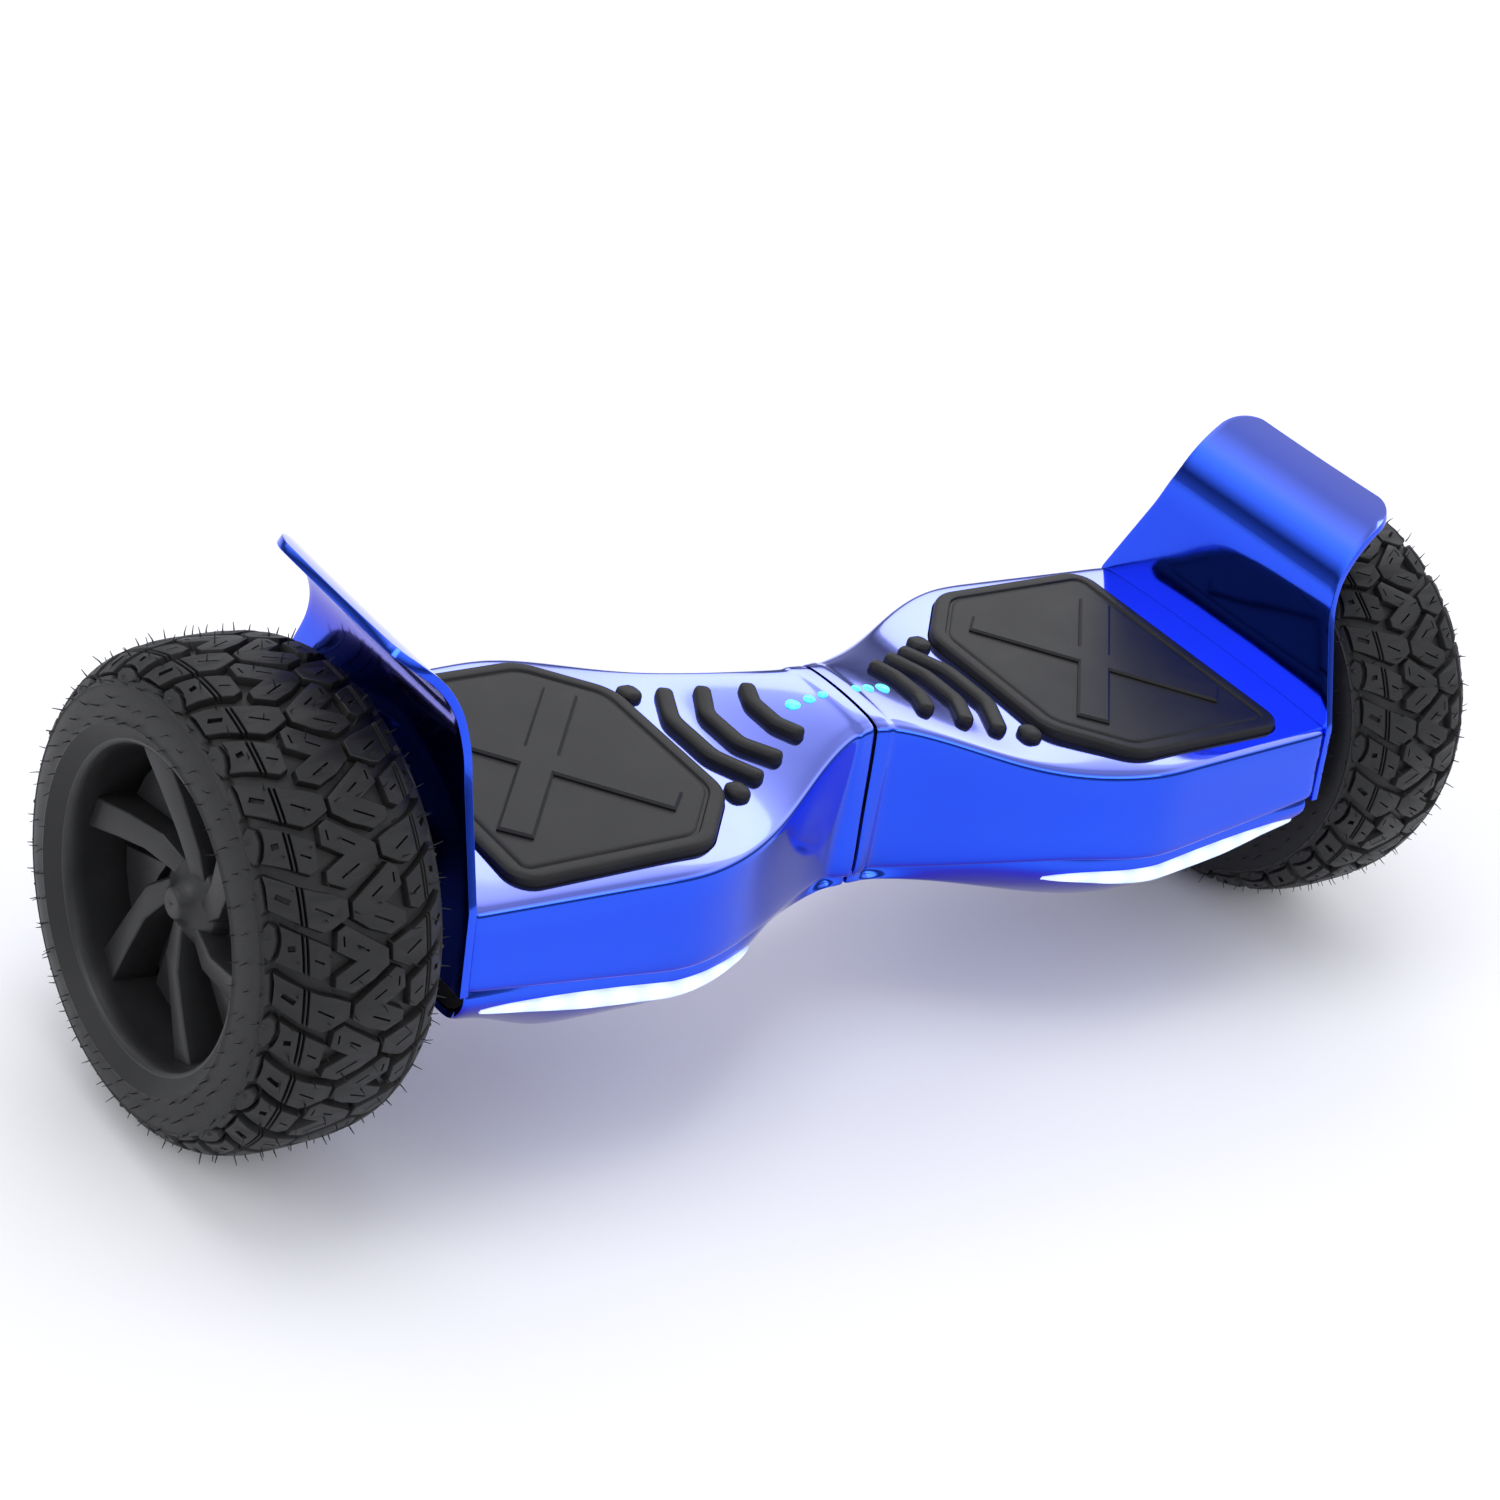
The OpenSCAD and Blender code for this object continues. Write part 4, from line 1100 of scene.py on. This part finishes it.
# The outer half's blocks in one pitch, as (across, around) corners, then their sipes as
# (across, around, half length, half width, angle). The other half is the same, half a pitch on.
PITCH_BLOCKS = (
    ([(8.8, 5.4), (15.3, 2.4), (21.3, 0.4), (25.9, -1.6), (25.9, 13.4), (20.0, 16.4), (16.4, 15.6),
      (11.8, 13.4), (8.9, 11.9)],
     [(19.0, 8.6, 4.0, 0.4, -0.52)]),
    ([(26.7, -1.9), (27.6, -2.4), (27.6, 12.6), (26.7, 13.0)], []),
    ([(28.4, -2.8), (40.1, -9.6), (39.5, -5.0), (40.0, 4.6), (28.4, 12.2)], [(33.9, 1.3, 3.0, 1.1, -0.6)]),
    ([(17.5, 22.3), (26.2, 17.3), (26.2, 32.4), (22.0, 34.5), (18.2, 33.0)],
     [(22.3, 27.2, 2.2, 0.4, -0.5)]),
    ([(27.0, 16.8), (27.9, 16.3), (27.9, 31.5), (27.0, 32.0)], []),
    ([(28.7, 15.9), (36.5, 11.4), (35.9, 15.7), (36.4, 19.7), (37.7, 23.7), (39.4, 26.0), (30.0, 30.4),
      (28.7, 31.1)],
     [(32.6, 20.9, 1.4, 1.2, 0.0)]),
    ([(10.7, 14.8), (14.6, 16.8), (15.4, 24.2), (7.0, 29.4), (15.8, 34.1), (16.1, 38.5), (8.3, 42.0),
      (-0.3, 38.3), (-7.4, 33.3), (-7.2, 27.0), (-0.3, 22.4)],
     [(4.1, 24.8, 3.0, 0.4, -0.55), (5.7, 35.6, 4.6, 0.4, 0.45), (12.1, 20.9, 2.0, 0.4, 1.57)]),
)


def facing_block(block, pitch):
    """The same block on the other half of the tread, half a pitch further round."""
    outline, sipes = block
    turned = [(-w, s + pitch / 2) for w, s in outline][::-1]
    return turned, [(-w, s + pitch / 2, half, thick, -angle) for w, s, half, thick, angle in sipes]


def tyre_carcass(shape, depth):
    """The tyre under its blocks: sunk under the tread, full at the sidewalls, with moulded rings."""
    profile = []
    count = 150
    for i in range(count + 1):
        a = math.radians(5) + math.radians(170) * i / count
        r = shape.at_angle(a)[1]
        outer = a <= math.pi / 2
        folded = a if outer else math.pi - a
        arc = next((run for run, angle in shape.table if angle <= folded), 60.0)
        sunk = depth * (1 - ease((arc - 40.0) / 4.0))
        nx, nr = shape.section(arc if outer else -arc, -sunk)
        for ring_r in (72.5, 74.0, 88.6, 90.2):
            if abs(r - ring_r) < 0.45:
                nx += math.copysign(0.55, nx)
        profile.append((nr, nx))
    return profile + [(BEAD_R, 5 - TYRE_HALF), (BEAD_R, TYRE_HALF - 5)]


class BOARD_OT_tyres(bpy.types.Operator):
    """Off-road tyres: carcass, moulded blocks with sipes, shoulder tabs and vent hairs"""
    bl_idname = "board.tyres"
    bl_label = "Tyres"

    def execute(self, context):
        shape = TyreShape()
        depth, pitches = size("tread_depth"), context.scene.board_sizes.pitches
        pitch = 2 * math.pi * TYRE_R / pitches
        blocks = [b for block in PITCH_BLOCKS for b in (block, facing_block(block, pitch))]
        for name, side in SIDES:
            verts, faces = revolve(tyre_carcass(shape, depth), 160)
            for k in range(pitches):
                place = k * pitch + TREAD_START
                for outline, sipes in blocks:
                    tread_block(shape, outline, sipes, place, depth + 0.5, verts, faces)
                shoulder_tabs(shape, place, 1, verts, faces)
                shoulder_tabs(shape, place + pitch / 2, -1, verts, faces)
            add_hairs(shape, context.scene.board_sizes.hairs, verts, faces)
            piece(f"{name}_tyre_tread", to_wheel(verts, side), faces, tyre_rubber(), f"{name}_wheel",
                  [f"{name}_tyre"], smooth=32)
        return {"FINISHED"}


# The shoulder's blocks in one pitch as outline, depth and lift: a rounded tab with a small
# stud, then a long block with a wedge
SHOULDER_BLOCKS = (
    ([(37.9, 12.2), (40.6, 9.9), (43.6, 12.6), (44.6, 17.6), (44.0, 23.4), (42.2, 26.4), (40.6, 25.6),
      (38.7, 21.6), (37.6, 17.4)], 2.4, 0.2),
    ([(41.2, 14.9), (42.9, 14.9), (42.9, 16.6), (41.2, 16.6)], 1.0, 0.9),
    ([(41.0, -9.6), (43.6, -8.6), (45.0, -3.0), (45.0, 2.6), (43.4, 7.6), (41.0, 5.0)], 2.2, 0.0),
    ([(43.2, -3.4), (45.0, -2.8), (43.2, -1.9)], 0.8, 0.7),
)


def shoulder_tabs(shape, offset, flip, verts, faces):
    """Adds one pitch of a shoulder's blocks, on the outer side or, flipped, on the inner one."""
    for outline, depth, lift in SHOULDER_BLOCKS:
        points = split_outline(outline if flip > 0 else [(-w, s) for w, s in outline][::-1], 4.0)
        top = shrink(points, 0.6)
        rings = [(top, lift), (shrink(points, 0.1), lift - 0.5), (shrink(points, -0.5), lift - depth)]
        start = ring_sides(shape, rings, offset, verts, faces)
        flat = [[Vector((w, s, 0)) for w, s in top]]
        faces += [tuple(start + i for i in tri) for tri in tessellate_polygon(flat)]


def add_hairs(shape, count, verts, faces):
    """Vent hairs left by the mould: thin bent spikes that stand off the rubber."""
    draw = random.Random(7)
    lanes = (-52.0, -44.0, -31.0, -18.0, -6.0, 6.0, 18.0, 31.0, 44.0, 52.0, 58.0, -58.0)
    around = 2 * math.pi * TYRE_R
    for i in range(count):
        arc = lanes[i % len(lanes)] + draw.uniform(-1.5, 1.5)
        place = around * (i + draw.uniform(-0.4, 0.4)) / count
        tall = draw.uniform(2.2, 4.6)
        lean_w, lean_s = draw.uniform(-1.2, 1.2), draw.uniform(-1.4, 1.4)
        if shape.point(arc, place, tall)[2] < 2 - TYRE_R:
            continue
        start = len(verts)
        for level, radius, bend in ((-0.6, 0.42, 0.0), (0.35 * tall, 0.3, 0.25), (tall, 0.16, 1.0)):
            for k in range(4):
                turn = math.pi * k / 2
                verts.append(shape.point(arc + radius * math.cos(turn) + lean_w * bend,
                                         place + radius * math.sin(turn) + lean_s * bend, level))
        faces.extend(tuple(start + v for v in f) for f in strip_faces(3, 4, closed_columns=True))
        faces.append((start + 8, start + 9, start + 10, start + 11))


# Rims, in millimetres from the wheel's middle

SPOKES = 6
# Radius and outward place: nosed hub, back disc, barrel, outer flange, inner flange, back
RIM_PROFILE = (
    (0.3, 9.5), (0.3, 26.9), (5.4, 26.9), (6.6, 26.2), (8.2, 23.6), (11.0, 21.2), (14.2, 19.8),
    (17.6, 17.8), (19.4, 14.6), (20.2, 11.2), (56.4, 11.2), (57.0, 10.6), (57.3, 5.0), (62.0, 5.0),
    (62.7, 6.0), (63.4, 30.0), (63.9, 35.0), (65.0, 37.4), (66.4, 38.6), (67.8, 38.6), (68.6, 37.8),
    (68.8, 31.0), (66.0, 29.0), (66.0, -29.0), (68.8, -31.0), (68.6, -37.8), (67.4, -38.6),
    (65.0, -38.4), (63.2, -37.0), (63.0, -20.2), (54.2, -20.2), (54.2, 9.5))
# Along a spoke, its leading edge and its ridge: radius, degrees and height of each
SPOKE_STATIONS = (
    ((11.0, -74.0, 18.6), (10.0, -30.0, 19.8)), ((16.0, -60.0, 19.4), (14.5, -25.0, 21.0)),
    ((28.0, -40.0, 22.4), (29.4, -13.0, 24.6)), ((45.0, -19.0, 25.0), (45.5, -2.5, 27.0)),
    ((58.0, -11.4, 27.4), (58.5, 2.2, 28.9)), ((63.4, -9.6, 28.2), (63.6, 3.4, 29.4)))
SPOKE_FOOT = 10.6


class BOARD_OT_rims(bpy.types.Operator):
    """Rims: stepped barrel, dark back disc, six swept spokes and a nosed hub"""
    bl_idname = "board.rims"
    bl_label = "Rims"

    def execute(self, context):
        for name, side in SIDES:
            verts, faces = revolve(RIM_PROFILE, 144)
            for k in range(SPOKES):
                start = 360.0 / SPOKES * k
                add_shape(verts, faces, spoke(start))
                add_shape(verts, faces, web_panel(start))
            made = piece(f"{name}_rim_casting", to_wheel(verts, side), faces, coated_rim(), f"{name}_wheel",
                         [f"{name}_rim"], smooth=24)
            add_modifier(made, "BEVEL", width=0.5 * MM, segments=2, limit_method="ANGLE",
                         angle_limit=math.radians(24))
            applied(made, 30)
        return {"FINISHED"}


def on_face(radius, degrees, out):
    """A place on the wheel's face: 0 degrees is towards the front and 90 is up."""
    turn = math.radians(degrees)
    return (out, -radius * math.cos(turn), radius * math.sin(turn))


def spoke(start):
    """One swept spoke: a kinked blade that is highest along its trailing ridge."""
    verts = []
    for (r0, a0, h0), (r1, a1, h1) in SPOKE_STATIONS:
        spread = math.degrees(2.2 / max(r0, 12.0))
        verts += [on_face(r0, start + a0 - spread, SPOKE_FOOT), on_face(r0, start + a0, h0 - 0.5),
                  on_face(r0, start + a0 + spread * 0.5, h0), on_face(r1, start + a1 - spread * 0.4, h1),
                  on_face(r1, start + a1, h1 - 0.5), on_face(r1, start + a1 + spread, SPOKE_FOOT)]
    n, last = 6, len(verts) - 6
    faces = strip_faces(len(SPOKE_STATIONS), n, closed_columns=True)
    faces += [tuple(range(n)), tuple(range(last, last + n))[::-1]]
    return verts, faces


def web_panel(start):
    """The raised panel in the gap that follows a spoke."""
    corners = [(57.0, 11.0), (57.0, 22.0), (57.0, 33.0), (57.0, 45.0), (29.4, 16.0), (24.0, 0.0)]
    low = [on_face(r, start + a, 10.8) for r, a in corners]
    high = [on_face(r - (0.6 if r > 50 else -0.6), start + a, 15.4) for r, a in corners]
    return stacked_rings([low, high])


# The pieces that keep their shape

class BOARD_OT_parts(bpy.types.Operator):
    """Finishes of the frames, axles, motors, boards and other pieces that keep their shape"""
    bl_idname = "board.parts"
    bl_label = "Inner parts"

    def execute(self, context):
        jobs = [(f"{name}_{part}", look) for part, look in PART_FINISHES.items() for name, _ in SIDES]
        jobs += list(SINGLE_FINISHES.items())
        for node, look in jobs:
            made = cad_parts[node]
            material = plain_finish(*look)
            if not made.material_slots:
                made.data.materials.append(material)
            for slot in made.material_slots:
                slot.material = material
        return {"FINISHED"}


# Studio, in metres

LENS_MM = 79.1
CAMERA_PLACE = (-0.9356, -0.8952, 0.8320)
# Which way the camera looks, in degrees: round from the back, up, and its roll
CAMERA_TURN = (44.87, -29.27, 15.24)
# Each light's name, place, target, width, height and power in watts
LIGHTS = (("overhead", (-0.3, 0.3, 2.8), (0, 0, 0), 1.8, 1.4, 20),
          ("back_wall", (3.2, 3.2, 2.4), (0, 0, 0.1), 4.5, 2.0, 34),
          ("left_strip", (-2.6, 0.6, 1.5), (0, 0, 0.1), 0.7, 1.8, 12),
          ("front_fill", (0.6, -2.6, 1.3), (0, 0, 0.1), 1.8, 0.8, 7))
# The room from straight down to straight up: a dark band near the floor gives the plating contrast
ROOM = ((0.0, "#8D8F98"), (0.18, "#4C4E58"), (0.36, "#D4D8E4"), (0.5, "#FFFFFF"), (0.62, "#FBFBFF"),
        (0.8, "#A4A6AE"))
ROOM_STRENGTH = 1.5
FLOOR_HALF = 12.0
FLOOR_DROP = 0.0005


class BOARD_OT_studio(bpy.types.Operator):
    """Studio: camera, pale floor and soft lights"""
    bl_idname = "board.studio"
    bl_label = "Studio"

    def execute(self, context):
        scene = context.scene
        scene.view_settings.view_transform = "Standard"
        self.camera(scene)
        self.floor(scene)
        self.room(scene)
        self.lights(scene)
        return {"FINISHED"}

    def camera(self, scene):
        data = bpy.data.cameras.new("camera")
        data.lens = LENS_MM
        data.sensor_width = 36.0
        data.clip_end = 50.0
        made = bpy.data.objects.new("camera", data)
        scene.collection.objects.link(made)
        yaw, pitch, roll = (math.radians(a) for a in CAMERA_TURN)
        level = math.cos(pitch)
        ahead = Vector((level * math.sin(yaw), level * math.cos(yaw), math.sin(pitch)))
        right = ahead.cross(Vector((0, 0, 1))).normalized()
        up = right.cross(ahead)
        right_rolled = right * math.cos(roll) + up * math.sin(roll)
        up_rolled = up * math.cos(roll) - right * math.sin(roll)
        turn = Matrix((right_rolled, up_rolled, -ahead)).transposed().to_4x4()
        made.matrix_world = Matrix.Translation(Vector(CAMERA_PLACE)) @ turn
        scene.camera = made

    def floor(self, scene):
        """A painted floor, with a hardly visible change of shade."""
        mesh = bpy.data.meshes.new("floor")
        h = FLOOR_HALF
        mesh.from_pydata([(-h, -h, 0), (h, -h, 0), (h, h, 0), (-h, h, 0)], [], [(0, 1, 2, 3)])
        made = bpy.data.objects.new("floor", mesh)
        scene.collection.objects.link(made)
        made.location.z = -FLOOR_DROP
        material, tree, shader = new_material("floor_painted")
        dress(tree, shader, {"Roughness": 0.7}, {})
        stops = ((0.3, colour("floor")), (0.7, linear("#F7F7F8")))
        moulded_look(tree, shader, (grain(tree, 900.0, 2.0), stops))
        mesh.materials.append(material)

    def room(self, scene):
        world = bpy.data.worlds.new("studio")
        world.use_nodes = True
        scene.world = world
        tree = world.node_tree
        sky = put(tree, "ShaderNodeTexCoord")
        split = put(tree, "ShaderNodeSeparateXYZ", None, {"Vector": sky.outputs["Generated"]})
        band = put(tree, "ShaderNodeValToRGB", None, {"Fac": split.outputs["Z"]},
                   [(place, linear(hex_text)) for place, hex_text in ROOM])
        dress(tree, tree.nodes["Background"], {"Strength": ROOM_STRENGTH}, {"Color": band.outputs["Color"]})

    def lights(self, scene):
        for name, place, target, width, height, power in LIGHTS:
            data = bpy.data.lights.new(name, "AREA")
            data.shape = "RECTANGLE"
            data.size = width
            data.size_y = height
            data.energy = power
            made = bpy.data.objects.new(name, data)
            scene.collection.objects.link(made)
            made.location = place
            made.rotation_euler = (Vector(target) - Vector(place)).to_track_quat("-Z", "Y").to_euler()


OPERATORS = (BOARD_OT_studio, BOARD_OT_covers, BOARD_OT_fenders, BOARD_OT_pads, BOARD_OT_grips,
             BOARD_OT_status, BOARD_OT_lamps, BOARD_OT_tyres, BOARD_OT_rims, BOARD_OT_parts)


class BOARD_PT_panel(bpy.types.Panel):
    """Lists the board's pieces"""
    bl_idname = "BOARD_PT_panel"
    bl_label = "Board"
    bl_space_type = "VIEW_3D"
    bl_region_type = "UI"
    bl_category = "Board"

    def draw(self, context):
        for group in (context.scene.board_sizes, context.scene.board_finishes):
            box = self.layout.box()
            for key in group.__annotations__:
                box.prop(group, key)
        for operator in OPERATORS:
            self.layout.operator(operator.bl_idname)


CLASSES = (BoardSizes, BoardFinishes) + OPERATORS + (BOARD_PT_panel,)


def register():
    for cls in CLASSES:
        bpy.utils.register_class(cls)
    bpy.types.Scene.board_sizes = bpy.props.PointerProperty(type=BoardSizes)
    bpy.types.Scene.board_finishes = bpy.props.PointerProperty(type=BoardFinishes)


def unregister():
    del bpy.types.Scene.board_finishes
    del bpy.types.Scene.board_sizes
    for cls in reversed(CLASSES):
        bpy.utils.unregister_class(cls)


def main():
    register()
    bpy.ops.board.studio()
    bpy.ops.board.covers()
    bpy.ops.board.fenders()
    bpy.ops.board.pads()
    bpy.ops.board.grips()
    bpy.ops.board.status()
    bpy.ops.board.lamps()
    bpy.ops.board.tyres()
    bpy.ops.board.rims()
    bpy.ops.board.parts()


if __name__ == "__main__":
    main()
